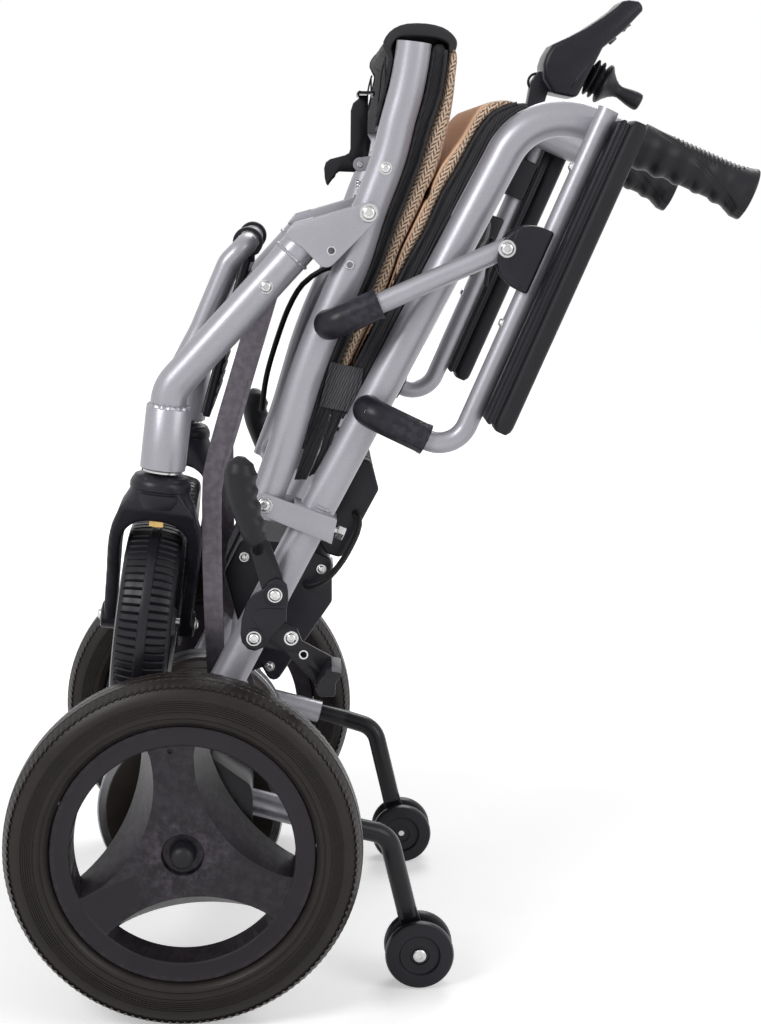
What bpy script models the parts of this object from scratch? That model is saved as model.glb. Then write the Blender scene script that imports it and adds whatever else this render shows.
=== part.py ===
import math

import bmesh
import bpy
from mathutils import Vector

for old in list(bpy.data.objects):
    bpy.data.objects.remove(old)

# metres; X runs to the back of the chair, +Y to its right side, Z up.
# The working zero is the ground under the rear axle.
middle_x = 0.17441
wheel_radius = 0.159
wheel_mid_y = 0.26
frame_y = 0.193
tube_radius = 0.016
seat_tube_radius = 0.0152
arm_y = 0.226
arm_tube_radius = 0.0093
caster_radius = 0.095
caster_trail = 0.048
bolt_radius = 0.004
bore_radius = 0.0047
gap = 0.0003
tube_sides = 12

seat_pivot = (0.073, 0.459)
leg_pivot = (0.166, 0.715)
bar_top = (0.078, 0.651)
bar_foot = (0.0436, 0.286)
arm_pivot = (0.165, 0.543)
strut_top = (0.284, 0.685)
strut_foot = (0.131, 0.6185)
latch_pivot = (0.164, 0.757)
seat_cross = (0.183, 0.760)
leg_rod = (0.1379, 0.6932)
footrest_pivot = (-0.014, 0.556)
footplate_pivot = (0.058, 0.6864)
lever_pivot = (0.082, 0.381)
shoe_pivot = (0.063, 0.342)
swivel_point = (-0.0143, 0.515)
swivel_tilt = math.radians(7.3)
hub_drop = 0.1744
small_wheel = (0.213, 0.032)
arm_origin = (0.288, 0.614)
arm_angle = math.radians(66.2)
stick_pivot = (0.4085, 0.8542)
stick_angle = math.radians(-27.3)

# centre line of the seat tube, bottom to top
seat_line = [
    (0.0684, 0.4468), (0.087, 0.496), (0.098, 0.532), (0.109, 0.568), (0.122, 0.603),
    (0.138, 0.639), (0.153, 0.674), (0.1662, 0.7155), (0.183, 0.760), (0.192, 0.795),
    (0.199, 0.820), (0.204, 0.846), (0.206, 0.861),
]
# line where the folded seat pad and back pad meet
pad_line = [
    (0.116, 0.510), (0.137, 0.550), (0.160, 0.600), (0.183, 0.645), (0.197, 0.681),
    (0.219, 0.725), (0.229, 0.751), (0.241, 0.800), (0.251, 0.848),
]

paints = {
    "silver_paint": ((0.46, 0.47, 0.51), 0.55, 0.34),
    "black_plastic": ((0.022, 0.023, 0.027), 0.0, 0.45),
    "motor_case": ((0.06, 0.06, 0.07), 0.3, 0.5),
    "black_paint": ((0.02, 0.02, 0.023), 0.2, 0.4),
    "grip_rubber": ((0.02, 0.02, 0.022), 0.0, 0.65),
    "cable_rubber": ((0.02, 0.02, 0.02), 0.0, 0.6),
    "tyre_rubber": ((0.018, 0.018, 0.019), 0.0, 0.75),
    "bar_paint": ((0.19, 0.17, 0.20), 0.4, 0.4),
    "zinc": ((0.62, 0.62, 0.6), 1.0, 0.3),
    "pad_mesh": ((0.33, 0.23, 0.15), 0.0, 0.9),
    "webbing": ((0.02, 0.02, 0.022), 0.0, 0.85),
    "grey_plastic": ((0.25, 0.25, 0.27), 0.1, 0.4),
}
materials = {}
for slot, (colour, metal, rough) in paints.items():
    material = bpy.data.materials.new(slot)
    material.use_nodes = True
    shader = material.node_tree.nodes["Principled BSDF"]
    shader.inputs["Base Color"].default_value = (*colour, 1)
    shader.inputs["Metallic"].default_value = metal
    shader.inputs["Roughness"].default_value = rough
    materials[slot] = material


def left(x, z, out):
    return Vector((x, -out, z))


def solid(mesh):
    bmesh.ops.recalc_face_normals(mesh, faces=mesh.faces)
    data = bpy.data.meshes.new("piece")
    mesh.to_mesh(data)
    mesh.free()
    body = bpy.data.objects.new("piece", data)
    bpy.context.scene.collection.objects.link(body)
    return body


def unit(first, second):
    length = math.dist(first, second)
    return tuple((b - a) / length for a, b in zip(first, second))


def between(first, second, share):
    return tuple(a + (b - a) * share for a, b in zip(first, second))


def rounded(points, radii, steps=5, closed=False):
    points = [Vector(point) for point in points]
    count = len(points)
    if not isinstance(radii, (list, tuple)):
        radii = [radii] * count
    result = []
    for index, corner in enumerate(points):
        inside = closed or 0 < index < count - 1
        if not inside or radii[index] == 0:
            result.append(corner)
            continue
        into = (points[index - 1] - corner).normalized()
        out = (points[(index + 1) % count] - corner).normalized()
        half = into.angle(out) / 2
        reach = radii[index] / math.tan(half)
        centre = corner + (into + out).normalized() * radii[index] / math.sin(half)
        start = corner + into * reach - centre
        end = corner + out * reach - centre
        turn = start.angle(end)
        for step in range(steps + 1):
            share = step / steps
            first = math.sin((1 - share) * turn) / math.sin(turn)
            second = math.sin(share * turn) / math.sin(turn)
            result.append(centre + start * first + end * second)
    return result


def round_end(centre, radius, start, end, steps=6):
    spots = []
    for step in range(steps + 1):
        angle = math.radians(start + (end - start) * step / steps)
        spots.append((centre[0] + radius * math.cos(angle), centre[1] + radius * math.sin(angle)))
    return spots


def sweep(points, radius, sides=tube_sides):
    mesh = bmesh.new()
    rings = []
    count = len(points)
    side = None
    for index, centre in enumerate(points):
        tangent = Vector((0, 0, 0))
        if index < count - 1:
            tangent += (points[index + 1] - centre).normalized()
        if index > 0:
            tangent += (centre - points[index - 1]).normalized()
        tangent.normalize()
        if side is None:
            side = Vector((0, 1, 0)) if abs(tangent.y) < 0.9 else Vector((0, 0, 1))
        side = (side - tangent * side.dot(tangent)).normalized()
        across = tangent.cross(side)
        size = radius[index] if isinstance(radius, (list, tuple)) else radius
        ring = []
        for step in range(sides):
            angle = 2 * math.pi * step / sides
            ring.append(mesh.verts.new(centre + (side * math.cos(angle) + across * math.sin(angle)) * size))
        rings.append(ring)
    for first, second in zip(rings, rings[1:]):
        for step in range(sides):
            after = (step + 1) % sides
            mesh.faces.new((first[step], first[after], second[after], second[step]))
    mesh.faces.new(rings[0])
    mesh.faces.new(rings[-1])
    return solid(mesh)


def lathe(profile, origin, axis, sides=24, closed=False):
    axis = Vector(axis).normalized()
    side = Vector((0, 0, -1)) if abs(axis.y) > 0.9 else Vector((0, 1, 0))
    side = (side - axis * side.dot(axis)).normalized()
    across = axis.cross(side)
    mesh = bmesh.new()
    rows = []
    for radius, along in profile:
        centre = Vector(origin) + axis * along
        if radius == 0:
            rows.append([mesh.verts.new(centre)])
            continue
        row = []
        for step in range(sides):
            angle = 2 * math.pi * step / sides
            row.append(mesh.verts.new(centre + (side * math.cos(angle) + across * math.sin(angle)) * radius))
        rows.append(row)
    pairs = list(zip(rows, rows[1:]))
    if closed:
        pairs.append((rows[-1], rows[0]))
    for first, second in pairs:
        for step in range(sides):
            after = (step + 1) % sides
            corners = []
            for row, place in ((first, step), (first, after), (second, after), (second, step)):
                spot = row[place % len(row)]
                if spot not in corners:
                    corners.append(spot)
            mesh.faces.new(corners)
    return solid(mesh)


def plate(outline, low, high, place=left):
    mesh = bmesh.new()
    first = [mesh.verts.new(place(spot[0], spot[1], low)) for spot in outline]
    second = [mesh.verts.new(place(spot[0], spot[1], high)) for spot in outline]
    count = len(outline)
    for step in range(count):
        after = (step + 1) % count
        mesh.faces.new((first[step], first[after], second[after], second[step]))
    mesh.faces.new(first)
    mesh.faces.new(second)
    return solid(mesh)


def soft_plate(outline, low, high, bevel, place=left):
    body = plate(outline, low, high, place)
    modifier = body.modifiers.new("edge", "BEVEL")
    modifier.width = bevel
    modifier.segments = 1
    modifier.limit_method = "ANGLE"
    modifier.angle_limit = math.radians(50)
    apply(body, modifier)
    return body


def pin(spot, radius, low, high, sides=10):
    return sweep([left(*spot, low), left(*spot, high)], radius, sides)


def apply(body, modifier):
    bpy.ops.object.select_all(action="DESELECT")
    body.select_set(True)
    bpy.context.view_layer.objects.active = body
    bpy.ops.object.modifier_apply(modifier=modifier.name)


def combine(body, tool, operation):
    modifier = body.modifiers.new("combine", "BOOLEAN")
    modifier.operation = operation
    modifier.solver = "EXACT"
    modifier.object = tool
    apply(body, modifier)
    bpy.data.objects.remove(tool)
    return body


def weld(body, *others):
    for other in others:
        combine(body, other, "UNION")
    return body


def carve(body, *tools):
    for tool in tools:
        combine(body, tool, "DIFFERENCE")
    return body


def mirrored(body):
    twin = bpy.data.objects.new("twin", body.data.copy())
    bpy.context.scene.collection.objects.link(twin)
    for vertex in twin.data.vertices:
        vertex.co.y = -vertex.co.y
    twin.data.flip_normals()
    return twin


chair = bpy.data.objects.new("wheelchair", None)
bpy.context.scene.collection.objects.link(chair)
chair.location = (-middle_x, 0, 0)
carriers = {"rear": (chair, Vector((0, 0, 0)))}


def carrier(name, pivot, parent):
    holder, zero = carriers[parent]
    empty = bpy.data.objects.new("joint_" + name, None)
    bpy.context.scene.collection.objects.link(empty)
    empty.parent = holder
    empty.location = pivot - zero
    empty.empty_display_size = 0.02
    carriers[name] = (empty, pivot)


def finish(body, name, body_name, slot, angle=38):
    holder, zero = carriers[body_name]
    body.name = name
    body.data.name = name
    for vertex in body.data.vertices:
        vertex.co -= zero
    body.parent = holder
    body.data.materials.clear()
    body.data.materials.append(materials[slot])
    body.data.shade_smooth()
    body.data.set_sharp_from_angle(angle=math.radians(angle))


def pair(body, name, body_name, slot, angle=38, sided=True):
    twin = mirrored(body)
    right_body = body_name + "_right" if sided else body_name
    left_body = body_name + "_left" if sided else body_name
    finish(body, name + "_left", left_body, slot, angle)
    finish(twin, name + "_right", right_body, slot, angle)


def cord(points, radius, name, body_name, slot, resolution=2):
    holder, zero = carriers[body_name]
    data = bpy.data.curves.new(name, "CURVE")
    data.dimensions = "3D"
    data.bevel_depth = radius
    data.bevel_resolution = resolution
    data.use_fill_caps = True
    data.twist_mode = "MINIMUM"
    spline = data.splines.new("POLY")
    spline.points.add(len(points) - 1)
    for spot, point in zip(spline.points, points):
        spot.co = (*(Vector(point) - zero), 1)
    data.materials.append(materials[slot])
    body = bpy.data.objects.new(name, data)
    bpy.context.scene.collection.objects.link(body)
    body.parent = holder


def smooth_route(points, step):
    spots = [Vector(point) for point in points]
    spots = [spots[0] * 2 - spots[1]] + spots + [spots[-1] * 2 - spots[-2]]
    fine = []
    for before, first, second, after in zip(spots, spots[1:], spots[2:], spots[3:]):
        for part in range(20):
            t = part / 20
            fine.append(0.5 * (2 * first + (second - before) * t
                               + (2 * before - 5 * first + 4 * second - after) * t * t
                               + (3 * first - before - 3 * second + after) * t ** 3))
    fine.append(spots[-2])
    route = [fine[0]]
    for spot in fine[1:-1]:
        if (spot - route[-1]).length >= step and (spot - fine[-1]).length >= step * 0.6:
            route.append(spot)
    route.append(fine[-1])
    return route


def offset(line, distance):
    spots = []
    for index, spot in enumerate(line):
        ahead = line[min(index + 1, len(line) - 1)]
        behind = line[max(index - 1, 0)]
        along = unit(behind, ahead)
        spots.append((spot[0] + along[1] * distance, spot[1] - along[0] * distance))
    return spots


def at_height(line, height):
    for first, second in zip(line, line[1:]):
        if height <= second[1]:
            break
    share = (height - first[1]) / (second[1] - first[1])
    return first[0] + (second[0] - first[0]) * share


def cushion(front, rear, half_width, dips=(), edge=0.5):
    shares = (-1, -0.97, -0.88, -0.45, 0, 0.45, 0.88, 0.97, 1)
    mesh = bmesh.new()
    grids = []
    for line, other in ((front, rear), (rear, front)):
        grid = []
        for row, (spot, facing) in enumerate(zip(line, other)):
            centre = between(spot, facing, 0.5)
            fill = edge if row in (0, len(line) - 1) else 1
            if row in dips:
                fill = 0.9
            cells = []
            for share in shares:
                size = fill * (1 - (1 - edge) * max(0, (abs(share) - 0.86) / 0.14) ** 2)
                size *= 1 - 0.05 * max(0, abs(share) - 0.45)
                width = half_width - (0.004 if row in (0, len(line) - 1) else 0)
                place = between(centre, spot, size)
                cells.append(mesh.verts.new(left(*place, -width * share)))
            grid.append(cells)
        grids.append(grid)
    first, second = grids
    rows = len(front)
    columns = len(shares)
    for grid in grids:
        for row in range(rows - 1):
            for column in range(columns - 1):
                mesh.faces.new((grid[row][column], grid[row][column + 1],
                                grid[row + 1][column + 1], grid[row + 1][column]))
    for row in range(rows - 1):
        for column in (0, columns - 1):
            mesh.faces.new((first[row][column], first[row + 1][column],
                            second[row + 1][column], second[row][column]))
    for column in range(columns - 1):
        for row in (0, rows - 1):
            mesh.faces.new((first[row][column], first[row][column + 1],
                            second[row][column + 1], second[row][column]))
    return solid(mesh)


def window_outline(inner_centre, inner_radius, outer_half, inner_half):
    spots = []
    for step in range(8):
        angle = math.radians(-outer_half + 2 * outer_half * step / 7)
        spots.append((0.0995 * math.cos(angle), 0.0995 * math.sin(angle)))
    for step in range(1, 7):
        angle = math.radians(inner_half - 2 * inner_half * step / 7)
        spots.append((inner_centre - inner_radius * math.cos(angle), inner_radius * math.sin(angle)))
    return spots


def turned_by(outline, degrees):
    c, n = math.cos(math.radians(degrees)), math.sin(math.radians(degrees))
    return [(x * c - z * n, wheel_radius + x * n + z * c) for x, z in outline]


def tapered(first, second, low, high):
    mesh = bmesh.new()
    reach = 0.002 / (high - low)
    ends = []
    for mine, other, out, step in ((first, second, low, -0.002), (second, first, high, 0.002)):
        ends.append([mesh.verts.new(left(*between(spot, facing, -reach), out + step))
                     for spot, facing in zip(mine, other)])
    count = len(first)
    for step in range(count):
        after = (step + 1) % count
        mesh.faces.new((ends[0][step], ends[0][after], ends[1][after]))
        mesh.faces.new((ends[0][step], ends[1][after], ends[1][step]))
    mesh.faces.new(ends[0])
    mesh.faces.new(ends[1])
    return solid(mesh)


def on_arm(along, across):
    c, s = math.cos(arm_angle), math.sin(arm_angle)
    return (arm_origin[0] + along * c + across * s, arm_origin[1] + along * s - across * c)


def arm_box(along, across, out):
    return left(*on_arm(along, across), out)


def from_pivot(distance):
    return (arm_pivot[0] + elbow_dir[0] * distance, arm_pivot[1] + elbow_dir[1] * distance)


def on_strut(distance):
    return left(strut_top[0] + strut_dir[0] * distance, strut_top[1] + strut_dir[1] * distance, arm_y)


def fork_point(across, drop, trail):
    c, s = math.cos(swivel_tilt), math.sin(swivel_tilt)
    x = swivel_point[0] - drop * s + across * c
    z = swivel_point[1] - drop * c - across * s
    return left(x, z, frame_y - trail)


def fork_side(trail, drop, across):
    return fork_point(across, drop, trail)


axle = Vector((0, 0, wheel_radius))
elbow_dir = (math.cos(math.radians(-26)), math.sin(math.radians(-26)))
strut_dir = unit(strut_top, strut_foot)
for side_name, sign in (("left", -1), ("right", 1)):
    carrier("wheel_" + side_name, Vector((0, sign * wheel_mid_y, wheel_radius)), "rear")
    carrier("antitip_" + side_name, Vector((small_wheel[0], sign * 0.18, small_wheel[1])), "rear")
    carrier("lever_" + side_name, Vector((lever_pivot[0], sign * 0.2245, lever_pivot[1])), "rear")
    carrier("shoe_" + side_name, Vector((shoe_pivot[0], sign * 0.2245, shoe_pivot[1])), "rear")
    carrier("arm_" + side_name, Vector((arm_pivot[0], sign * arm_y, arm_pivot[1])), "rear")
    carrier("strut_" + side_name, Vector((strut_top[0], sign * arm_y, strut_top[1])), "arm_" + side_name)
carrier("seat", Vector((seat_pivot[0], 0, seat_pivot[1])), "rear")
carrier("front", Vector((leg_pivot[0], 0, leg_pivot[1])), "seat")
carrier("link", Vector((bar_foot[0], 0, bar_foot[1])), "rear")
carrier("latch", Vector((latch_pivot[0], 0, latch_pivot[1])), "seat")
carrier("footrest", Vector((footrest_pivot[0], 0, footrest_pivot[1])), "front")
carrier("footplate", Vector((footplate_pivot[0], 0, footplate_pivot[1])), "footrest")
for side_name, sign in (("left", -1), ("right", 1)):
    swivel = fork_point(0, 0, 0)
    hub = fork_point(0, hub_drop, caster_trail)
    carrier("swivel_" + side_name, Vector((swivel.x, sign * -swivel.y, swivel.z)), "front")
    carrier("caster_" + side_name, Vector((hub.x, sign * -hub.y, hub.z)), "swivel_" + side_name)
carrier("gimbal", Vector((stick_pivot[0], arm_y, stick_pivot[1])), "arm_right")
carrier("stick", Vector((stick_pivot[0], arm_y, stick_pivot[1])), "gimbal")


# rear frame: back tube with its handle bend, seat bracket, anti-tip holder
back_route = rounded([left(-0.0123, 0.2017, frame_y), left(0.3104, 0.8128, frame_y),
                      left(0.486, 0.7365, frame_y)], 0.057, 6)
holder_route = [left(-0.002, 0.198, frame_y), left(0.124, 0.163, frame_y)]
body = sweep(back_route, tube_radius)
bracket = [(0.136, 0.446), (0.131, 0.424)] + round_end(seat_pivot, 0.0095, 248, 68, 5)
weld(body, plate([(0.112, 0.4555), (0.136, 0.446), (0.131, 0.424), (0.107, 0.4335)], 0.1740, 0.2120))
weld(body, plate(bracket, 0.2086, 0.2125), plate(bracket, 0.1735, 0.1774))
weld(body, pin(seat_pivot, bolt_radius, 0.1705, 0.2155), pin(seat_pivot, 0.0075, 0.2120, 0.2160, 6))
weld(body, pin(seat_pivot, 0.0065, 0.1700, 0.1740, 6))
weld(body, sweep(holder_route, 0.012, 12))
carve(body, sweep([left(0.090, 0.1724, frame_y), left(0.130, 0.16133, frame_y)], 0.0100, 12))
weld(body, pin(arm_pivot, bolt_radius, 0.200, 0.2425), pin(arm_pivot, 0.0075, 0.2402, 0.2445))
pair(body, "rear_frame", "rear", "silver_paint", sided=False)

body = sweep([left(0.134, 0.4805, 0.1766), left(0.134, 0.4805, -0.1766)], 0.0125)
finish(body, "cross_tube_upper", "rear", "silver_paint")
body = sweep([left(*bar_foot, 0.1766), left(*bar_foot, -0.1766)], 0.011)
finish(body, "cross_tube_lower", "rear", "silver_paint")

# drive motor with the axle block that holds back tube and anti-tip holder
body = lathe([(0, 0.040), (0.078, 0.040), (0.0835, 0.046), (0.0835, 0.089), (0.087, 0.092),
              (0.087, 0.150), (0.083, 0.155), (0, 0.155)], axle, (0, -1, 0), 24)
block = [(-0.03, 0.135), (-0.045, 0.165), (-0.03, 0.215), (0.02, 0.235), (0.06, 0.205),
         (0.06, 0.17), (0.03, 0.135)]
weld(body, plate(rounded([(*spot, 0) for spot in block], 0.012, 2, True), 0.148, 0.225))
carve(body, sweep([left(-0.0123 - 0.0003, 0.2017 - 0.0005, frame_y), left(0.03, 0.2818, frame_y)],
                  tube_radius + gap))
low = left(-0.002 - gap, 0.198 + 0.0001, frame_y)
carve(body, sweep([low, left(0.124, 0.163, frame_y)], 0.012 + gap, 12))
carve(body, sweep([axle + left(0, 0, 0.188), axle + left(0, 0, 0.240)], 0.0088, 14))
pair(body, "motor", "rear", "motor_case", sided=False)

# anti-tip bar and its twin-disc wheel
route = rounded([left(0.094, 0.1713, frame_y), left(0.152, 0.1552, frame_y), left(0.184, 0.146, 0.188),
                 left(0.2028, 0.0655, 0.180), left(0.2065, 0.0525, 0.180)], [0, 0.03, 0.024, 0.02, 0], 3)
body = sweep(route, 0.0095, 10)
neck = (0.2012, 0.0720)
along = unit(neck, small_wheel)
side_way = (-along[1], along[0])
tongue = [(neck[0] + side_way[0] * 0.0092, neck[1] + side_way[1] * 0.0092)]
start = math.degrees(math.atan2(side_way[1], side_way[0]))
tongue += round_end(small_wheel, 0.0105, start, start - 180, 6)
tongue += [(neck[0] - side_way[0] * 0.0092, neck[1] - side_way[1] * 0.0092)]
carve(body, plate([(0.150, 0.0665), (0.26, 0.0665), (0.26, 0.01), (0.150, 0.01)], 0.16, 0.20))
weld(body, plate(tongue, 0.1745, 0.1855))
carve(body, pin(small_wheel, 0.0068, 0.165, 0.195, 10))
pair(body, "antitip_bar", "rear", "black_paint", 50, sided=False)

wheel = [(0, 0.2000), (0.025, 0.2000), (0.030, 0.1980), (0.032, 0.1945), (0.032, 0.1910), (0.029, 0.188),
         (0.006, 0.188), (0.006, 0.172), (0.029, 0.172), (0.032, 0.169), (0.032, 0.1655), (0.030, 0.162),
         (0.025, 0.160), (0, 0.160)]
body = lathe(wheel, (small_wheel[0], 0, small_wheel[1]), (0, -1, 0), 16)
pair(body, "antitip_wheel", "antitip", "black_plastic")

# push grip over the handle end of the back tube
grip_axis = left(0.486, 0.7365, 0) - left(0.3104, 0.8128, 0)
grip = [(0, 0.108), (0.017, 0.108), (0.022, 0.104), (0.022, 0.099), (0.0195, 0.094), (0.0195, 0.009),
        (0.0215, 0.006), (0.0215, 0), (0.0165, 0), (0.0165, 0.0925), (0, 0.0925)]
body = lathe(grip, left(0.402, 0.773, frame_y), grip_axis, 16)
pair(body, "push_grip", "rear", "grip_rubber", sided=False)

# battery pack and controller box between the cross tubes
battery = [(0.157, 0.488), (0.171, 0.485), (0.178, 0.458), (0.143, 0.393), (0.128, 0.398),
           (0.120, 0.412), (0.151, 0.476)]
body = soft_plate(rounded([(*spot, 0) for spot in battery], 0.004, 2, True), -0.12, 0.12, 0.003)
for place in (-0.08, 0.08):
    lug = [(0.1465, 0.4560), (0.1585, 0.4800), (0.1480, 0.4905), (0.1330, 0.4975), (0.1240, 0.4600)]
    weld(body, plate(lug, place - 0.009, place + 0.009))
    carve(body, pin((0.134, 0.4805), 0.0129, place - 0.012, place + 0.012, 14))
handle = [(0.1600, 0.480), (0.1600, 0.5000), (0.1720, 0.4970), (0.1720, 0.478)]
weld(body, soft_plate(handle, -0.045, 0.045, 0.002))
finger_gap = [(0.150, 0.4895), (0.150, 0.4960), (0.180, 0.4935), (0.180, 0.4880)]
carve(body, soft_plate(finger_gap, -0.033, 0.033, 0.002))
finish(body, "battery_pack", "rear", "black_plastic", 50)
box = [(0.049, 0.412), (0.033, 0.380), (0.045, 0.335), (0.062, 0.300), (0.078, 0.270), (0.134, 0.352),
       (0.134, 0.392), (0.100, 0.408)]
body = soft_plate(rounded([(*spot, 0) for spot in box], 0.005, 2, True), -0.12, 0.12, 0.003)
for place in (-0.06, 0.06):
    lug = [(0.0700, 0.3100), (0.0500, 0.3050), (0.0420, 0.3030), (0.0440, 0.2700), (0.0750, 0.2800)]
    weld(body, plate(lug, place - 0.012, place + 0.012))
    carve(body, pin(bar_foot, 0.0114, place - 0.015, place + 0.015, 14))
finish(body, "controller_box", "rear", "black_plastic", 50)

# back pad between the back tubes, with the pocket behind it
heights = (0.512, 0.524, 0.552, 0.584, 0.616, 0.648, 0.680, 0.712, 0.744, 0.772, 0.792)
front_line = [(at_height(pad_line, z) + 0.001, z) for z in heights]
slope = (0.3104 + 0.0123) / (0.8128 - 0.2017)
rear_line = []
tube_reach = (tube_radius + 0.0007) / math.cos(math.atan(slope))
for z in heights:
    rear_line.append((-0.0123 + (z - 0.2017) * slope - tube_reach, z))
arch = (0.3361, 0.7395)
arch_radius = 0.0738
crown = round_end(arch, arch_radius, 147, 128, 1) + round_end(arch, arch_radius, 117, 117, 1)[:1]
rear_line[-2:] = crown[:2]
front_line[-2] = (0.2365, 0.778)
front_line[-1] = (0.2420, 0.7990)
front_line.append((0.2540, 0.8110))
rear_line.append(crown[2])
front_line.append((0.2760, 0.8155))
rear_line.append((0.3035, 0.8075))
body = cushion(front_line, rear_line, 0.189, dips=(3, 6))
finish(body, "back_cushion", "rear", "pad_mesh", 60)
pocket = []
for z, out in ((0.530, -0.0150), (0.700, -0.0150), (0.706, 0.0260), (0.690, 0.0310), (0.672, 0.0280),
               (0.664, 0.004), (0.550, 0.004), (0.535, -0.004)):
    pocket.append((-0.0123 + (z - 0.2017) * slope + out / 0.884, z))
body = soft_plate(pocket, -0.172, 0.172, 0.002)
finish(body, "back_pocket", "rear", "webbing", 60)

# wheel lock: plate with its two pivot bolts, hand lever, shoe
lock = [(0.085, 0.395), (0.093, 0.383), (0.092, 0.368), (0.078, 0.337), (0.066, 0.330), (0.052, 0.351),
        (0.059, 0.374)]
body = plate(rounded([(*spot, 0) for spot in lock], 0.004, 2, True), 0.2094, 0.2215)
for spot in (lever_pivot, shoe_pivot):
    weld(body, pin(spot, bolt_radius, 0.2205, 0.2285), pin(spot, 0.0072, 0.2270, 0.2305, 6))
pair(body, "brake_plate", "rear", "bar_paint", sided=False)
flat = round_end(lever_pivot, 0.0100, 195, 360, 6) + [(0.0760, 0.4270), (0.0720, 0.4320), (0.0600, 0.4300),
                                                    (0.0590, 0.4250)]
body = plate(flat, 0.2225, 0.2265)
weld(body, sweep([left(0.0665, 0.4235, 0.2238), left(0.0668, 0.4300, 0.236), left(0.0668, 0.4400, 0.262),
                  left(0.0665, 0.4440, 0.279)], 0.0050, 8))
grip_line = [left(0.0675, 0.4380, 0.278), left(0.0655, 0.4440, 0.279), left(0.0600, 0.4620, 0.280),
             left(0.0548, 0.4830, 0.280), left(0.0545, 0.4970, 0.280), left(0.0545, 0.5065, 0.280),
             left(0.0545, 0.5115, 0.280)]
weld(body, sweep(grip_line, [0.0070, 0.0100, 0.0123, 0.0140, 0.0135, 0.0095, 0.0035], 10))
carve(body, pin(lever_pivot, bore_radius, 0.22, 0.23))
pair(body, "brake_lever", "lever", "black_plastic")
link = round_end(shoe_pivot, 0.0095, 110, 290, 6)
link += [(0.0906, 0.3290), (0.1163, 0.2970), (0.1335, 0.2965), (0.1400, 0.3160), (0.1304, 0.3247),
         (0.1057, 0.3385), (0.1014, 0.3495), (0.0890, 0.3555)]
body = plate(link, 0.2225, 0.2262)
shoe = [(0.1230, 0.3220), (0.1163, 0.2957), (0.1348, 0.2955), (0.1410, 0.3173), (0.1335, 0.3230)]
weld(body, soft_plate(shoe, 0.2222, 0.2650, 0.0015))
weld(body, pin((0.096, 0.341), 0.0060, 0.2245, 0.2300, 6))
carve(body, pin(shoe_pivot, bore_radius, 0.22, 0.23), pin((0.107, 0.326), 0.003, 0.22, 0.23, 8))
pair(body, "brake_shoe", "shoe", "bar_paint")

# drive wheel: tyre, and rim with three arms, hub and stub shaft
tyre = [(0.1175, 0.2405), (0.1290, 0.2322), (0.1440, 0.2325), (0.1545, 0.2400), (0.1590, 0.2540),
        (0.1590, 0.2660), (0.1545, 0.2800), (0.1440, 0.2875), (0.1290, 0.2878), (0.1175, 0.2795)]
body = lathe(tyre, axle, (0, -1, 0), 32, closed=True)
pair(body, "tyre", "wheel", "tyre_rubber")
rim = [(0, 0.197), (0.008, 0.197), (0.008, 0.231), (0.0225, 0.231), (0.0225, 0.2405), (0.1172, 0.2405),
       (0.1172, 0.2795), (0.018, 0.2795), (0.018, 0.272), (0.0105, 0.272), (0.0105, 0.288), (0, 0.292)]
body = lathe(rim, axle, (0, -1, 0), 32)
front_lens = window_outline(0.15105, 0.11305, 48.45, 41.2)
rear_lens = window_outline(0.22185, 0.16435, 43.34, 24.55)
for middle in (35, 155, 275):
    carve(body, tapered(turned_by(rear_lens, middle), turned_by(front_lens, middle), 0.2405, 0.2795))
pair(body, "rim", "wheel", "black_plastic")

# seat tubes, the cross tube with latch lugs, latch hook, its spring
body = sweep([left(x, z, frame_y) for x, z in seat_line], seat_tube_radius)
carve(body, pin(seat_pivot, bore_radius, 0.16, 0.22), pin(leg_pivot, bore_radius, 0.16, 0.22))
pair(body, "seat_tube", "seat", "silver_paint", 50, sided=False)
body = sweep([left(*seat_cross, 0.1774), left(*seat_cross, -0.1774)], 0.010)
for place in (-0.0050, 0.0050):
    lug = [(0.1830, 0.7535)] + round_end(latch_pivot, 0.0068, 275, 85, 6) + [(0.1830, 0.7665)]
    weld(body, plate(lug, place - 0.0018, place + 0.0018))
arm = [(0.1860, 0.7540), (0.1790, 0.7560), (0.1680, 0.7290), (0.1580, 0.7270), (0.1580, 0.7240),
       (0.1720, 0.7240)]
weld(body, plate(arm, -0.0030 - 0.0035, -0.0035))
weld(body, plate([(0.1680, 0.7285), (0.1580, 0.7285), (0.1580, 0.7245), (0.1680, 0.7245)], -0.005, 0.0045))
weld(body, pin(latch_pivot, 0.0030, -0.0060, 0.0060, 10))
finish(body, "seat_cross_tube", "seat", "silver_paint")
hook = [(0.1628, 0.8225), (0.1628, 0.8195), (0.1575, 0.8150), (0.1548, 0.7720), (0.1497, 0.7659),
        (0.1352, 0.7621), (0.1310, 0.7590), (0.1294, 0.7535), (0.1300, 0.7440), (0.1312, 0.7390),
        (0.1330, 0.7366), (0.1350, 0.7396), (0.1372, 0.7425), (0.1398, 0.7450), (0.1410, 0.7480),
        (0.1440, 0.7502), (0.1583, 0.7497)]
hook += round_end(latch_pivot, 0.0066, 240, 340, 3) + [(0.1748, 0.7790), (0.1712, 0.7870), (0.1722, 0.8225)]
body = plate(hook, -0.0022, 0.0022)
flange = [(0.1624, 0.8195), (0.1624, 0.8265), (0.1765, 0.8265), (0.1765, 0.8195)]
weld(body, soft_plate(flange, -0.020, 0.020, 0.001))
carve(body, pin(latch_pivot, 0.0036, -0.005, 0.005, 12))
finish(body, "latch_hook", "latch", "black_paint")
coil = []
turns = 5
for step in range(turns * 8 + 1):
    angle = 2 * math.pi * step / 8
    rise = 0.0125 * step / (turns * 8)
    coil.append((0.1630 + 0.0029 * math.cos(angle), 0.0029 * math.sin(angle), 0.7298 + rise))
wire_radius = 0.0005
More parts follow.
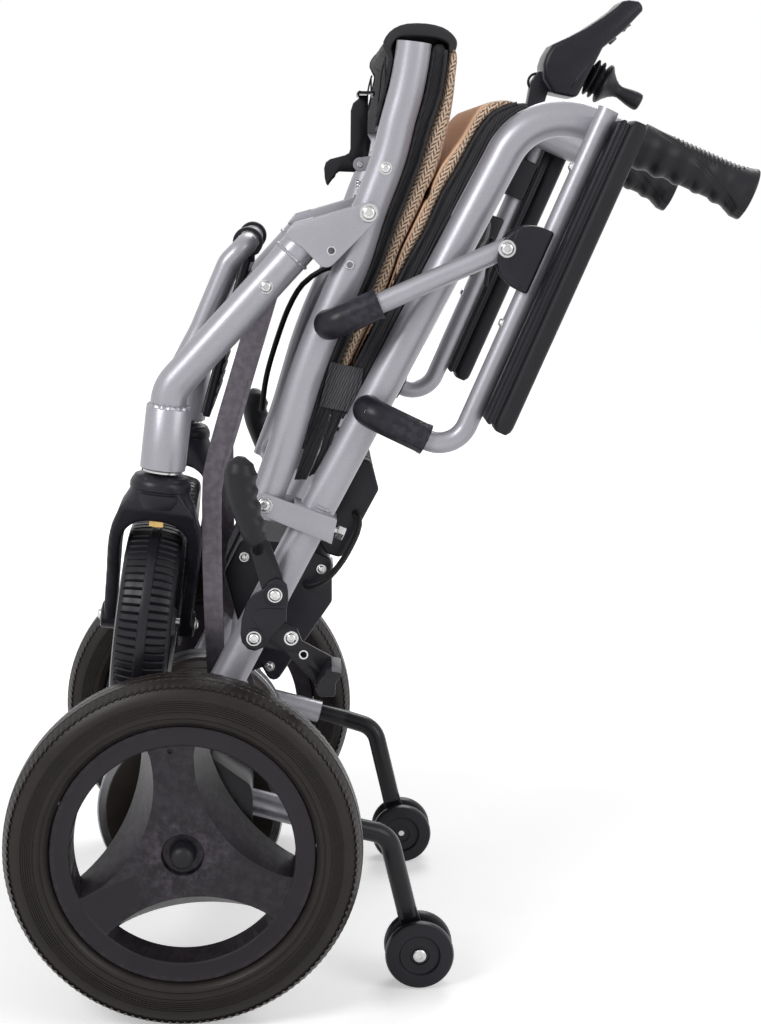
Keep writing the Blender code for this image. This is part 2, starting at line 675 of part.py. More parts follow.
cord(coil, wire_radius, "latch_spring", "seat", "zinc", 1)
apart = min(math.dist(first, second) for index, first in enumerate(coil) for second in coil[index + 5:])
print(f"latch spring: least gap to itself {(apart - 2 * wire_radius) * 1000:.2f} mm")

# seat pad with the hem that wraps over the tube ends
heights = (0.512, 0.526, 0.556, 0.588, 0.622, 0.656, 0.690, 0.724, 0.758, 0.792, 0.820, 0.840, 0.852)
tube_face = offset(seat_line, seat_tube_radius + 0.0004)
tube_back = offset(seat_line, -seat_tube_radius - 0.0004)
front_line = [(at_height(tube_face, z), z) for z in heights]
rear_line = [(at_height(pad_line, min(z, 0.848)), z) for z in heights]
front_line[-1] = (0.2215, 0.8600)
front_line[-2] = (0.2206, 0.8480)
rear_line[-1] = (0.2450, 0.8600)
rear_line[-2] = (0.2490, 0.8450)
body = cushion(front_line, rear_line, 0.187, dips=(3, 6), edge=0.62)
cap = [(at_height(tube_back, 0.79) - 0.0033, 0.790), (at_height(tube_back, 0.82) - 0.0033, 0.820),
       (at_height(tube_back, 0.846) - 0.0033, 0.846), (0.1860, 0.8610), (0.1900, 0.8700), (0.1985, 0.8750),
       (0.2120, 0.8760), (0.2290, 0.8710), (0.2400, 0.8630), (0.2425, 0.8540), (0.2330, 0.8500),
       (0.2235, 0.8520), (0.2225, 0.8645), (0.1905, 0.8655), (at_height(tube_back, 0.8462), 0.8462),
       (at_height(tube_back, 0.82), 0.820), (at_height(tube_back, 0.79), 0.790)]
weld(body, plate(cap, -0.1885, 0.1885))
# notch in the hem that the squeezed latch handle moves into
carve(body, plate([(0.160, 0.780), (0.1995, 0.780), (0.1995, 0.840), (0.160, 0.840)], -0.026, 0.026))
finish(body, "seat_cushion", "seat", "pad_mesh", 60)

# front legs: gusset plates, curved tube, caster housing, footrest and bar bolts
corners = [left(0.113, 0.6934, frame_y), left(-0.0105, 0.560, frame_y), left(-0.0128, 0.532, frame_y)]
route = rounded(corners, 0.03, 4)
body = sweep(route, tube_radius)
weld(body, plate([(0.092, 0.672), (0.094, 0.6965), (0.101, 0.7035), (0.121, 0.7030), (0.1205, 0.677),
                  (0.110, 0.666)], 0.1742, 0.2118))
gusset = [(0.094, 0.697), (0.100, 0.705), (0.158, 0.7225), (0.166, 0.7238), (0.1735, 0.7195),
          (0.1745, 0.7120),
          (0.1690, 0.7050), (0.135, 0.671), (0.128, 0.669), (0.112, 0.680)]
weld(body, plate(gusset, 0.2086, 0.2125), plate(gusset, 0.1735, 0.1774))
weld(body, pin(leg_pivot, bolt_radius, 0.1705, 0.2155), pin(leg_pivot, 0.0075, 0.2120, 0.2160, 6))
weld(body, pin(leg_pivot, 0.0062, 0.1696, 0.1746, 8))
carve(body, pin((0.1345, 0.6825), 0.0035, 0.2060, 0.2150))
top = fork_point(0, -0.028, 0)
foot = fork_point(0, 0.0268, 0)
weld(body, sweep([top, foot], 0.0205, 14))
carve(body, sweep([fork_point(0, -0.010, 0), fork_point(0, 0.035, 0)], 0.0071, 10))
weld(body, pin(bar_top, bolt_radius, 0.1690, 0.186, 10), pin(footrest_pivot, 0.009, 0.1602, 0.188))
weld(body, pin(footrest_pivot, bolt_radius, 0.1368, 0.165), pin(footrest_pivot, 0.0075, 0.1365, 0.1400))
weld(body, pin((0.0720, 0.6490), 0.0062, 0.2075, 0.2115, 8))
pair(body, "front_leg", "front", "silver_paint", 50, sided=False)
body = sweep([left(*leg_rod, 0.1731), left(*leg_rod, -0.1731)], 0.0030, 12)
finish(body, "leg_cross_rod", "front", "zinc")

# link bars between leg and lower cross tube
bar = [(0.0205, 0.2840), (0.0182, 0.2981), (0.0172, 0.3263), (0.0160, 0.3638), (0.0155, 0.4010),
       (0.0157, 0.4563), (0.0168, 0.4800), (0.0245, 0.5111), (0.0406, 0.5654)]
bar += [(bar_top[0] - 0.0104, bar_top[1] + 0.003)]
bar += round_end(bar_top, 0.0106, 162, -18, 6)
bar += [(0.0630, 0.5653), (0.0509, 0.5246), (0.0365, 0.4800), (0.0335, 0.4620), (0.0332, 0.4008),
        (0.0338, 0.3449), (0.0345, 0.3060), (0.0430, 0.2990), (0.0430, 0.2715), (0.0320, 0.2715)]
body = plate(bar, 0.1637, 0.1683)
weld(body, pin(bar_foot, 0.0175, 0.1635, 0.1685, 16))
carve(body, pin(bar_foot, 0.0116, 0.16, 0.17, 14), pin(bar_top, bore_radius, 0.16, 0.17))
pair(body, "link_bar", "link", "bar_paint", 50, sided=False)

# footrest loop and the flap-down plate clipped on its closed end
loop = [left(-0.0186, 0.5476, 0.15), left(0.0152, 0.6092, 0.15), left(0.0415, 0.6700, 0.15),
        left(*footplate_pivot, 0.15), left(*footplate_pivot, -0.15), left(0.0415, 0.6700, -0.15),
        left(0.0152, 0.6092, -0.15), left(-0.0186, 0.5476, -0.15)]
route = rounded(loop, [0, 0.08, 0.02, 0.014, 0.014, 0.02, 0.08, 0], 2)
body = sweep(route, 0.0095, 10)
for place in (-0.15, 0.15):
    carve(body, pin(footrest_pivot, bore_radius, place - 0.02, place + 0.02, 12))
finish(body, "footrest_tube", "footrest", "silver_paint", 50)
top = (0.0616, 0.6725)
end = (0.0216, 0.5268)
step_dir = unit(top, end)
inner = (step_dir[1], -step_dir[0])
step_plate = [top, end, (end[0] + inner[0] * 0.009, end[1] + inner[1] * 0.009),
              (top[0] + inner[0] * 0.009, top[1] + inner[1] * 0.009)]
body = soft_plate(step_plate, -0.125, 0.125, 0.0015)
for place in (-0.095, 0.095):
    weld(body, pin(footplate_pivot, 0.0138, place - 0.012, place + 0.012, 12))
    weld(body, plate([(0.0475, 0.683), (0.0665, 0.683), (0.0620, 0.668), (0.0500, 0.668)], place - 0.011,
                     place + 0.011))
    carve(body, pin(footplate_pivot, 0.0103, place - 0.014, place + 0.014, 10))
finish(body, "footplate", "footplate", "black_plastic", 50)

# caster fork and wheel
shape = [(-0.020, 0.0325), (0.018, 0.0325), (0.030, 0.058), (0.042, 0.100), (0.0575, 0.160)]
shape += round_end((caster_trail, hub_drop), 0.0125, -25, 165, 7)
shape += [(0.022, 0.130), (-0.002, 0.088), (-0.018, 0.062)]
body = plate(shape, -0.06, 0.06, fork_side)
arch = [(-0.028, 0.030), (0.028, 0.030), (0.029, 0.045), (0.0345, 0.0655), (0.0390, 0.079), (0.0413, 0.0915),
        (0.0420, 0.105), (0.0400, 0.200), (0.0290, 0.200), (0.0310, 0.095), (0.0270, 0.083), (0.018, 0.0755),
        (0, 0.0725), (-0.018, 0.0755), (-0.0270, 0.083), (-0.0310, 0.095), (-0.0290, 0.200), (-0.0400, 0.200),
        (-0.0420, 0.105), (-0.0413, 0.0915), (-0.0390, 0.079), (-0.0345, 0.0655), (-0.029, 0.045)]
combine(body, plate(arch, -0.05, 0.09, fork_point), "INTERSECT")
weld(body, sweep([fork_point(0, -0.006, 0), fork_point(0, 0.045, 0)], 0.0062, 10))
weld(body, sweep([fork_point(0, 0.0276, 0), fork_point(0, 0.0350, 0)], 0.0165, 14))
weld(body, sweep([fork_point(0, 0.0700, 0), fork_point(0, 0.0790, 0)], 0.0070, 6))
weld(body, sweep([fork_point(-0.0455, hub_drop, caster_trail), fork_point(0.0455, hub_drop, caster_trail)],
                 bolt_radius, 12))
for place in (-1, 1):
    weld(body, sweep([fork_point(place * 0.0395, hub_drop, caster_trail),
                      fork_point(place * 0.0440, hub_drop, caster_trail)], 0.0068, 6))
pair(body, "caster_fork", "swivel", "black_plastic", 50)
hub = fork_point(0, hub_drop, caster_trail)
across = fork_point(1, hub_drop, caster_trail) - hub
half = [(0.0050, 0.026), (0.018, 0.026), (0.021, 0.015), (0.064, 0.015), (0.069, 0.0225), (0.085, 0.0250),
        (0.0920, 0.0150), (caster_radius, 0.0040)]
wheel = [(r, -a) for r, a in half] + [(r, a) for r, a in half[::-1]]
body = lathe(wheel, hub, across, 20, closed=True)
pair(body, "caster_wheel", "caster", "tyre_rubber")

# arm: elbow, bent tube, pad, clamp with the strut pin, strut
stations = [left(*from_pivot(reach), arm_y) for reach in (-0.0135, -0.0115, 0.054, 0.056)]
body = sweep(stations, [0.0095, 0.0135, 0.0135, 0.0125], 12)
weld(body, pin(arm_pivot, 0.0115, 0.2096, 0.228))
socket = [left(*from_pivot(0.0176), arm_y), left(*from_pivot(0.06), arm_y)]
carve(body, sweep(socket, arm_tube_radius + gap, 12))
carve(body, pin(arm_pivot, bore_radius, 0.20, 0.25))
pair(body, "arm_elbow", "arm", "black_plastic", 50)
corner = (0.2405, 0.5062)
route = rounded([left(*from_pivot(0.018), arm_y), left(*corner, arm_y),
                 left(0.3715, 0.803, arm_y)], 0.0265, 5)
body = sweep(route, arm_tube_radius, 12)
pair(body, "arm_tube", "arm", "silver_paint", 50)
corners = [(-0.080, 0.0097, 0), (0.202, 0.0097, 0), (0.202, 0.0180, 0), (-0.080, 0.0180, 0)]
base = rounded(corners, 0.002, 2, True)
body = plate([on_arm(*spot[:2]) for spot in base], 0.2155, 0.2575)
front_line = [on_arm(a, 0.0345) for a in (-0.083, -0.079, -0.070, -0.01, 0.06, 0.13, 0.192, 0.201, 0.205)]
rear_line = [on_arm(a, 0.0172) for a in (-0.083, -0.079, -0.070, -0.01, 0.06, 0.13, 0.192, 0.201, 0.205)]
top = cushion(front_line, rear_line, 0.0245, edge=0.55)
for vertex in top.data.vertices:
    vertex.co.y -= 0.2365
weld(body, top)
pair(body, "arm_pad", "arm", "grip_rubber", 60)
clamp = [(0.0345, -0.0003), (0.0923, -0.0003)]
for step in range(7):
    angle = math.radians(0 - 180 * step / 6)
    clamp.append((0.0634 + 0.0289 * math.cos(angle), -0.0096 + 0.029 * math.sin(angle)))
body = plate([on_arm(a, n) for a, n in clamp], 0.2115, 0.2405)
slot = [(0.02, -0.0105), (0.11, -0.0105), (0.11, -0.05), (0.02, -0.05)]
carve(body, plate([on_arm(a, n) for a, n in slot], 0.2163, 0.2357))
carve(body, sweep([arm_box(0.02, 0, arm_y), arm_box(0.11, 0, arm_y)], arm_tube_radius + gap, 12))
weld(body, pin(strut_top, bolt_radius, 0.2130, 0.2425), pin(strut_top, 0.0070, 0.2395, 0.2430))
pair(body, "arm_clamp", "arm", "black_plastic")
length = math.dist(strut_top, strut_foot)
body = sweep([on_strut(-0.0085), on_strut(-0.0065), on_strut(length - 0.040)], [0.0070, 0.0092, 0.0092], 12)
weld(body, sweep([on_strut(length - 0.052), on_strut(length - 0.050), on_strut(length + 0.0115),
                  on_strut(length + 0.0135)], [0.0125, 0.0135, 0.0135, 0.0105], 12))
weld(body, pin(strut_foot, 0.0115, 0.2092, 0.228))
carve(body, pin(strut_top, bore_radius, 0.21, 0.245))
pair(body, "strut", "strut", "silver_paint", 50)

# joystick on the right arm
pod = [(0.3719, 0.8818), (0.3899, 0.8902), (0.4080, 0.8996), (0.4259, 0.9111), (0.4375, 0.9194),
       (0.4449, 0.9267), (0.4520, 0.9282), (0.4620, 0.9267), (0.4680, 0.9215), (0.4665, 0.9164),
       (0.4476, 0.8966), (0.4254, 0.8785), (0.3984, 0.8264), (0.3714, 0.8317), (0.3627, 0.8463),
       (0.3625, 0.8620), (0.3656, 0.8714)]
body = soft_plate(pod, -0.259, -0.193, 0.006)
leg = [on_arm(0.115, -0.0003), on_arm(0.170, -0.0003), on_arm(0.175, -0.012), (0.3700, 0.8400),
       (0.3660, 0.8600),
       (0.3560, 0.8480), (0.3490, 0.8200), on_arm(0.150, -0.023), on_arm(0.115, -0.020)]
weld(body, plate(leg, -0.2385, -0.2135))
socket = [left(*on_arm(0.105, 0), -arm_y), left(*on_arm(0.235, 0), -arm_y)]
carve(body, sweep(socket, arm_tube_radius + gap, 12))
stick_dir = (math.cos(stick_angle), math.sin(stick_angle))
axis = Vector((stick_dir[0], 0, stick_dir[1]))
centre = Vector((stick_pivot[0], arm_y, stick_pivot[1]))
carve(body, sweep([centre - axis * 0.010, centre + axis * 0.030], 0.0245, 20))
panel = unit((0.4290, 0.8814), (0.4665, 0.9164))
panel_axis = Vector((panel[1], 0, -panel[0]))
key = Vector((0.4385, arm_y, 0.8888))
rocker = Vector((0.4530, arm_y, 0.9020))
carve(body, sweep([key - panel_axis * 0.0065, key + panel_axis * 0.02], 0.0055, 14))
along_panel = Vector((panel[0], 0, panel[1]))


def at_panel(along, depth, out):
    return rocker + along_panel * along + panel_axis * depth + Vector((0, out, 0))


well = [(-0.0057, -0.0070), (0.0057, -0.0070), (0.0057, 0.02), (-0.0057, 0.02)]
carve(body, plate(well, -0.0085, 0.0085, at_panel))
weld(body, sweep([at_panel(0, -0.0028, -0.0095), at_panel(0, -0.0028, 0.0095)], 0.0010, 8))
finish(body, "joystick_pod", "arm_right", "black_plastic", 50)
ring = [(0.0115, -0.0022), (0.0155, -0.0022), (0.0155, 0.0022), (0.0115, 0.0022)]
body = lathe(ring, centre, axis, 16, closed=True)
finish(body, "joystick_gimbal", "gimbal", "grey_plastic")
stick = [(0, -0.0065), (0.0055, -0.0065), (0.0060, 0.0050), (0.0205, 0.0103), (0.0228, 0.0135),
         (0.0190, 0.0168), (0.0208, 0.0200), (0.0185, 0.0235), (0.0205, 0.0268), (0.0180, 0.0300),
         (0.0085, 0.0370), (0.0060, 0.0430), (0.0092, 0.0540), (0.0095, 0.0640), (0.0070, 0.0690),
         (0, 0.0700)]
body = lathe(stick, centre, axis, 16)
finish(body, "joystick_stick", "stick", "grip_rubber")
carrier("key", key, "arm_right")
button = [(0, -0.0030), (0.0051, -0.0030), (0.0051, 0.0026), (0.0045, 0.0032), (0, 0.0032)]
body = lathe(button, key, panel_axis, 14)
finish(body, "power_key", "key", "grey_plastic")
carrier("rocker", at_panel(0, -0.0028, 0), "arm_right")
rock = [(-0.0046, -0.0010), (-0.0030, -0.0040), (0.0030, -0.0040), (0.0046, -0.0010), (0.0046, 0.0030),
        (0.0030, 0.0024), (-0.0030, 0.0024), (-0.0046, 0.0030)]
body = plate(rock, -0.0080, 0.0080, at_panel)
carve(body, sweep([at_panel(0, -0.0028, -0.0095), at_panel(0, -0.0028, 0.0095)], 0.0013, 8))
finish(body, "speed_rocker", "rocker", "grey_plastic")

# leads that the chair holds all the way
route = smooth_route([(0.1560, -0.1209, 0.4350), (0.1560, -0.1270, 0.4350), (0.1590, -0.1335, 0.4320),
                      (0.1570, -0.1365, 0.4200), (0.1440, -0.1375, 0.3950), (0.1280, -0.1365, 0.3760),
                      (0.1150, -0.1335, 0.3700),
                      (0.1100, -0.1270, 0.3690), (0.1100, -0.1209, 0.3690)], 0.008)
cord(route, 0.0030, "battery_cable", "rear", "cable_rubber")
spots = [(0.0640, 0.1600, 0.5000), (0.0690, 0.1640, 0.5350), (0.0790, 0.1660, 0.5700),
         (0.0930, 0.1665, 0.6080),
         (0.1080, 0.1660, 0.6330), (0.1270, 0.1650, 0.6470), (0.1400, 0.1665, 0.6510),
         (0.1440, 0.1700, 0.6520),
         (0.1440, 0.1766, 0.6520)]
cord(smooth_route(spots, 0.009), 0.0030, "control_cable", "seat", "cable_rubber")
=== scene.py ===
import math

import bmesh
import bpy
from mathutils import Matrix, Vector


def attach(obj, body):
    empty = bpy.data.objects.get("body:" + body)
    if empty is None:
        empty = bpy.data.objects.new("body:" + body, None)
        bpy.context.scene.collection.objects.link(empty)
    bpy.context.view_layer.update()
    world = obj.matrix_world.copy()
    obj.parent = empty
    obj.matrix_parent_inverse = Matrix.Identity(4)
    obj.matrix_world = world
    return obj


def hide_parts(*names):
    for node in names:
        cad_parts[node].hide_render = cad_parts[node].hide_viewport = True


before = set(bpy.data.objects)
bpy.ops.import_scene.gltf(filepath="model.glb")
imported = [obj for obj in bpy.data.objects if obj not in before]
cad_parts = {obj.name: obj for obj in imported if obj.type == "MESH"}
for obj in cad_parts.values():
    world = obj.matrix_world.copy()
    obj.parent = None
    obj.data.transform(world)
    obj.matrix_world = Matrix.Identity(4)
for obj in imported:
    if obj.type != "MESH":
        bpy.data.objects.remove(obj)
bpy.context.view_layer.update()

middleX = 0.17441  # metres from the rear axle to the middle of the folded chair
frameY = 0.193  # middle of the left frame plane, measured outwards
armY = 0.226
wheelY = 0.26
axle = (0.0, 0.159)
tubeRadius = 0.016
seatTubeRadius = 0.0152
armTubeRadius = 0.0093
gap = 0.0003


def at(x, z, out=0.0):
    return Vector((x - middleX, -out, z))


def mm(*values):  # a line of points in metres from pairs in millimetres
    values = [round(value / 1000, 7) for value in values]
    return list(zip(values[::2], values[1::2]))


def spots3(*values):  # the same with three values a point: ahead of the axle, up, and out from the middle
    values = [round(value / 1000, 7) for value in values]
    return [at(*spot) for spot in zip(values[::3], values[1::3], values[2::3])]


def clearSelection():
    if bpy.context.object is not None and bpy.context.object.mode != "OBJECT":
        bpy.ops.object.mode_set(mode="OBJECT")
    bpy.ops.object.select_all(action="DESELECT")


def selectOnly(item):
    clearSelection()
    item.select_set(True)
    bpy.context.view_layer.objects.active = item


def editAll(item):
    selectOnly(item)
    bpy.ops.object.mode_set(mode="EDIT")
    bpy.ops.mesh.select_all(action="SELECT")


def closeEdit(item, merge=0.00001):
    bpy.ops.mesh.select_all(action="SELECT")
    bpy.ops.mesh.remove_doubles(threshold=merge)
    bpy.ops.mesh.normals_make_consistent(inside=False)
    bpy.ops.object.mode_set(mode="OBJECT")
    return item


def applyModifier(item, kind, **settings):
    modifier = item.modifiers.new(kind.lower(), kind)
    for key, value in settings.items():
        setattr(modifier, key, value)
    selectOnly(item)
    bpy.ops.object.modifier_apply(modifier=modifier.name)
    return item


def bevelled(item, width, segments=2, angle=40):
    return applyModifier(item, "BEVEL", width=width, segments=segments, limit_method="ANGLE",
                         angle_limit=math.radians(angle), use_clamp_overlap=True)


def between(first, second, share):
    return tuple(a + (b - a) * share for a, b in zip(first, second))


def unit(first, second):
    length = math.dist(first, second)
    return tuple((b - a) / length for a, b in zip(first, second))


def arc(centre, radius, start, end, steps=12):
    spots = []
    for step in range(steps + 1):
        angle = math.radians(start + (end - start) * step / steps)
        spots.append((centre[0] + radius * math.cos(angle), centre[1] + radius * math.sin(angle)))
    return spots


def filleted(points, radii, steps=8, closed=False):
    points = [Vector(point) for point in points]
    count = len(points)
    if not isinstance(radii, (list, tuple)):
        radii = [radii] * count
    route = []
    for index, corner in enumerate(points):
        inside = closed or 0 < index < count - 1
        if not inside or radii[index] == 0:
            route.append(corner)
            continue
        into = (points[index - 1] - corner).normalized()
        out = (points[(index + 1) % count] - corner).normalized()
        half = into.angle(out) / 2
        centre = corner + (into + out).normalized() * radii[index] / math.sin(half)
        start = corner + into * radii[index] / math.tan(half) - centre
        end = corner + out * radii[index] / math.tan(half) - centre
        turn = start.angle(end)
        for step in range(steps + 1):
            share = step / steps
            first = math.sin((1 - share) * turn) / math.sin(turn)
            second = math.sin(share * turn) / math.sin(turn)
            route.append(centre + start * first + end * second)
    return route


def oblong(left, low, right, high):
    return [(left, low), (right, low), (right, high), (left, high)]


def roundedOutline(spots, radius, steps=4):
    return [(p.x, p.y) for p in filleted([(*spot, 0) for spot in spots], radius, steps, True)]


def smoothRoute(points, step=0.004):
    spots = [Vector(point) for point in points]
    spots = [spots[0] * 2 - spots[1]] + spots + [spots[-1] * 2 - spots[-2]]
    fine = []
    for before, first, second, after in zip(spots, spots[1:], spots[2:], spots[3:]):
        count = max(2, int((second - first).length / step))
        for part in range(count):
            t = part / count
            fine.append(0.5 * (2 * first + (second - before) * t
                               + (2 * before - 5 * first + 4 * second - after) * t * t
                               + (3 * first - before - 3 * second + after) * t ** 3))
    fine.append(spots[-2])
    return fine


def curveThrough(route, radius, resolution=4, scales=None):
    clearSelection()
    bpy.ops.curve.primitive_nurbs_path_add(location=(0, 0, 0))
    item = bpy.context.object
    data = item.data
    data.splines.clear()
    data.dimensions = "3D"
    data.twist_mode = "MINIMUM"
    data.bevel_depth = radius
    data.bevel_resolution = resolution
    data.use_fill_caps = True
    spline = data.splines.new("POLY")
    spline.points.add(len(route) - 1)
    for index, (point, spot) in enumerate(zip(spline.points, route)):
        point.co = (*spot, 1)
        if scales:
            point.radius = scales[index]
    return item


def tubeThrough(route, radius, resolution=6, scales=None):
    item = curveThrough(route, radius, resolution, scales)
    selectOnly(item)
    bpy.ops.object.convert(target="MESH")
    editAll(item)
    return closeEdit(item)


def turned(profile, centre, axis=(0, -1, 0), steps=48, closed=False):
    clearSelection()
    bpy.ops.mesh.primitive_circle_add(vertices=len(profile), radius=1, location=(0, 0, 0))
    item = bpy.context.object
    for vertex, (radius, along) in zip(item.data.vertices, profile):
        vertex.co = (radius, 0, along)
    if not closed:  # the circle's last edge goes, which leaves an open line
        last = len(profile) - 1
        bpy.ops.object.mode_set(mode="EDIT")
        bpy.ops.mesh.select_mode(type="EDGE")
        bpy.ops.mesh.select_all(action="DESELECT")
        bpy.ops.object.mode_set(mode="OBJECT")
        for edge in item.data.edges:
            edge.select = set(edge.vertices) == {0, last}
        bpy.ops.object.mode_set(mode="EDIT")
        bpy.ops.mesh.delete(type="EDGE")
        bpy.ops.mesh.select_mode(type="VERT")
        bpy.ops.object.mode_set(mode="OBJECT")
    editAll(item)
    bpy.ops.mesh.spin(steps=steps, angle=2 * math.pi, center=(0, 0, 0), axis=(0, 0, 1))
    closeEdit(item)
    turn = Vector(axis).to_track_quat("Z", "Y").to_matrix().to_4x4()
    item.data.transform(Matrix.Translation(Vector(centre)) @ turn)
    return item


def plateFrom(outline, low, high, bevel=0.0, segments=2, place=at):
    clearSelection()
    bpy.ops.mesh.primitive_circle_add(vertices=len(outline), radius=1, fill_type="NGON", location=(0, 0, 0))
    item = bpy.context.object
    for vertex, spot in zip(item.data.vertices, outline):
        vertex.co = place(spot[0], spot[1], low)
    editAll(item)
    spot = outline[0]
    step = place(spot[0], spot[1], high) - place(spot[0], spot[1], low)
    bpy.ops.mesh.extrude_region_move(TRANSFORM_OT_translate={"value": step})
    closeEdit(item, 0.000001)
    if bevel:
        bevelled(item, bevel, segments)
    return item


def pinAt(spot, radius, low, high, steps=32, bevel=0.0):
    profile = [(0, low), (radius - bevel, low)]
    if bevel:
        profile += [(radius, low + bevel), (radius, high - bevel)]
    profile += [(radius - bevel, high), (0, high)]
    return turned(profile, at(*spot), steps=steps)


def joined(item, *others):
    selectOnly(item)
    for other in others:
        other.select_set(True)
    bpy.context.view_layer.objects.active = item
    bpy.ops.object.join()
    return item


def combined(item, operation, tools):
    for tool in tools:
        applyModifier(item, "BOOLEAN", operation=operation, solver="EXACT", object=tool)
        bpy.data.objects.remove(tool)
    return item


def cut(item, *tools):
    return combined(item, "DIFFERENCE", tools)


def fused(item, *tools):
    return combined(item, "UNION", tools)


def keptInside(item, *tools):
    return combined(item, "INTERSECT", tools)


def mirrored(item):
    selectOnly(item)
    bpy.ops.object.duplicate(linked=False)
    twin = bpy.context.object
    for vertex in twin.data.vertices:
        vertex.co.y = -vertex.co.y
    twin.data.flip_normals()
    return twin


def dress(item, name, body, look, nodes=(), smooth=35):
    selectOnly(item)
    bpy.ops.object.transform_apply(location=True, rotation=True, scale=True)
    if smooth and item.type == "MESH":
        bpy.ops.object.shade_smooth_by_angle(angle=math.radians(smooth))
    item.name = name
    item.data.name = name
    item.data.materials.clear()
    material, slot = looks[look]
    item.data.materials.append(material)
    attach(item, body)
    if nodes:
        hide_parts(*nodes)
    return item


def bothSides(item, name, body, look, nodes=(), smooth=35):
    twin = mirrored(item)
    for piece, side in ((item, "left"), (twin, "right")):
        dress(piece, name + side.capitalize(), body.replace("SIDE", side), look,
              [node + "_" + side for node in nodes], smooth)
    return item, twin


def feed(tree, socket, value):
    if isinstance(value, bpy.types.NodeSocket):
        tree.links.new(value, socket)
    else:
        socket.default_value = value


def node(tree, kind, inputs=None, **settings):
    item = tree.nodes.new("ShaderNode" + kind)
    for key, value in settings.items():
        setattr(item, key, value)
    for key, value in (inputs or {}).items():
        feed(tree, item.inputs[key], value)
    return item


def calc(tree, operation, first, second=0.0, third=0.0):
    return node(tree, "Math", {0: first, 1: second, 2: third}, operation=operation).outputs[0]


def newGroup(name, values, results):
    tree = bpy.data.node_groups.new(name, "ShaderNodeTree")
    tree.interface.new_socket("Vector", in_out="INPUT", socket_type="NodeSocketVector")
    for label, value in values.items():
        socket = tree.interface.new_socket(label, in_out="INPUT", socket_type="NodeSocketFloat")
        socket.default_value = value
    for label in results:
        tree.interface.new_socket(label, in_out="OUTPUT", socket_type="NodeSocketFloat")
    start = tree.nodes.new("NodeGroupInput").outputs
    end = tree.nodes.new("NodeGroupOutput").inputs
    return tree, start, end


def noise(tree, spot, scale, detail=2.0, rough=0.5):
    inputs = {"Vector": spot, "Scale": scale, "Detail": detail, "Roughness": rough}
    return node(tree, "TexNoise", inputs).outputs[0]


def mapped(tree, value, low, high):
    return node(tree, "MapRange", {"Value": value, "From Min": low, "From Max": high}).outputs[0]


def givenOut(tree, wanted, results):
    for label, result in results.items():
        tree.links.new(result, wanted[label])
    return tree


def fineGrainGroup():  # pebbled skin of moulded parts and rubber
    tree, given, wanted = newGroup("fineGrain", {"Size": 0.0006}, ["Height", "Shade"])
    scale = calc(tree, "DIVIDE", 1.0, given["Size"])
    fine = noise(tree, given["Vector"], scale, 2.0, 0.55)
    cells = node(tree, "TexVoronoi", {"Vector": given["Vector"], "Scale": scale})
    height = calc(tree, "MULTIPLY_ADD", cells.outputs["Distance"], -0.5, fine)
    shade = mapped(tree, noise(tree, given["Vector"], 38.0, 5.0, 0.62), 0.2, 0.8)
    return givenOut(tree, wanted, {"Height": height, "Shade": shade})


def paintFlakeGroup():  # sparkle and faint orange peel of metallic paint
    tree, given, wanted = newGroup("paintFlake", {"Size": 0.0009}, ["Flake", "Peel"])
    scale = calc(tree, "DIVIDE", 1.0, given["Size"])
    cells = node(tree, "TexVoronoi", {"Vector": given["Vector"], "Scale": scale})
    tint = node(tree, "SeparateColor", {"Color": cells.outputs["Color"]})
    mottle = noise(tree, given["Vector"], calc(tree, "MULTIPLY", scale, 0.45), 3.0, 0.7)
    flake = calc(tree, "MULTIPLY_ADD", calc(tree, "POWER", tint.outputs[0], 3.0), 0.55,
                 calc(tree, "MULTIPLY", mottle, 0.6))
    peel = noise(tree, given["Vector"], 420.0, 1.0)
    return givenOut(tree, wanted, {"Flake": flake, "Peel": peel})


def edgeWearGroup():  # paler where an edge is rubbed
    tree, given, wanted = newGroup("edgeWear", {"Amount": 0.5}, ["Mask"])
    sharp = node(tree, "NewGeometry").outputs["Pointiness"]
    edge = mapped(tree, sharp, 0.58, 0.72)
    patch = mapped(tree, noise(tree, given["Vector"], 160.0, 4.0), 0.4, 0.62)
    mask = calc(tree, "MULTIPLY", calc(tree, "MULTIPLY", edge, patch), given["Amount"])
    return givenOut(tree, wanted, {"Mask": mask})


def meshHolesGroup():  # staggered holes of the spacer mesh
    tree, given, wanted = newGroup("meshHoles", {"Along": 0.004, "Across": 0.0034}, ["Hole", "Height"])
    place = node(tree, "SeparateXYZ", {0: given["Vector"]})
    waves = []
    quarter = calc(tree, "MULTIPLY", given["Across"], 0.25)
    lean = calc(tree, "PINGPONG", calc(tree, "ADD", place.outputs["Y"], quarter),
                calc(tree, "MULTIPLY", quarter, 2.0))
    slant = calc(tree, "MULTIPLY_ADD", calc(tree, "SUBTRACT", lean, quarter), 1.3,  # rows lean in turn
                 place.outputs["X"])
    for spot, pitch in ((slant, given["Along"]), (place.outputs["Y"], given["Across"])):
        turns = calc(tree, "DIVIDE", spot, pitch)
        waves.append(calc(tree, "COSINE", calc(tree, "MULTIPLY", turns, 2 * math.pi)))
    product = calc(tree, "MULTIPLY", waves[0], waves[1])
    hole = node(tree, "MapRange", {"Value": product, "From Min": -0.08, "From Max": 0.4},
                interpolation_type="SMOOTHSTEP")
    thread = noise(tree, given["Vector"], 2600.0)
    height = calc(tree, "MULTIPLY_ADD", thread, 0.25, calc(tree, "SUBTRACT", 1.0, hole.outputs[0]))
    return givenOut(tree, wanted, {"Hole": hole.outputs[0], "Height": height})


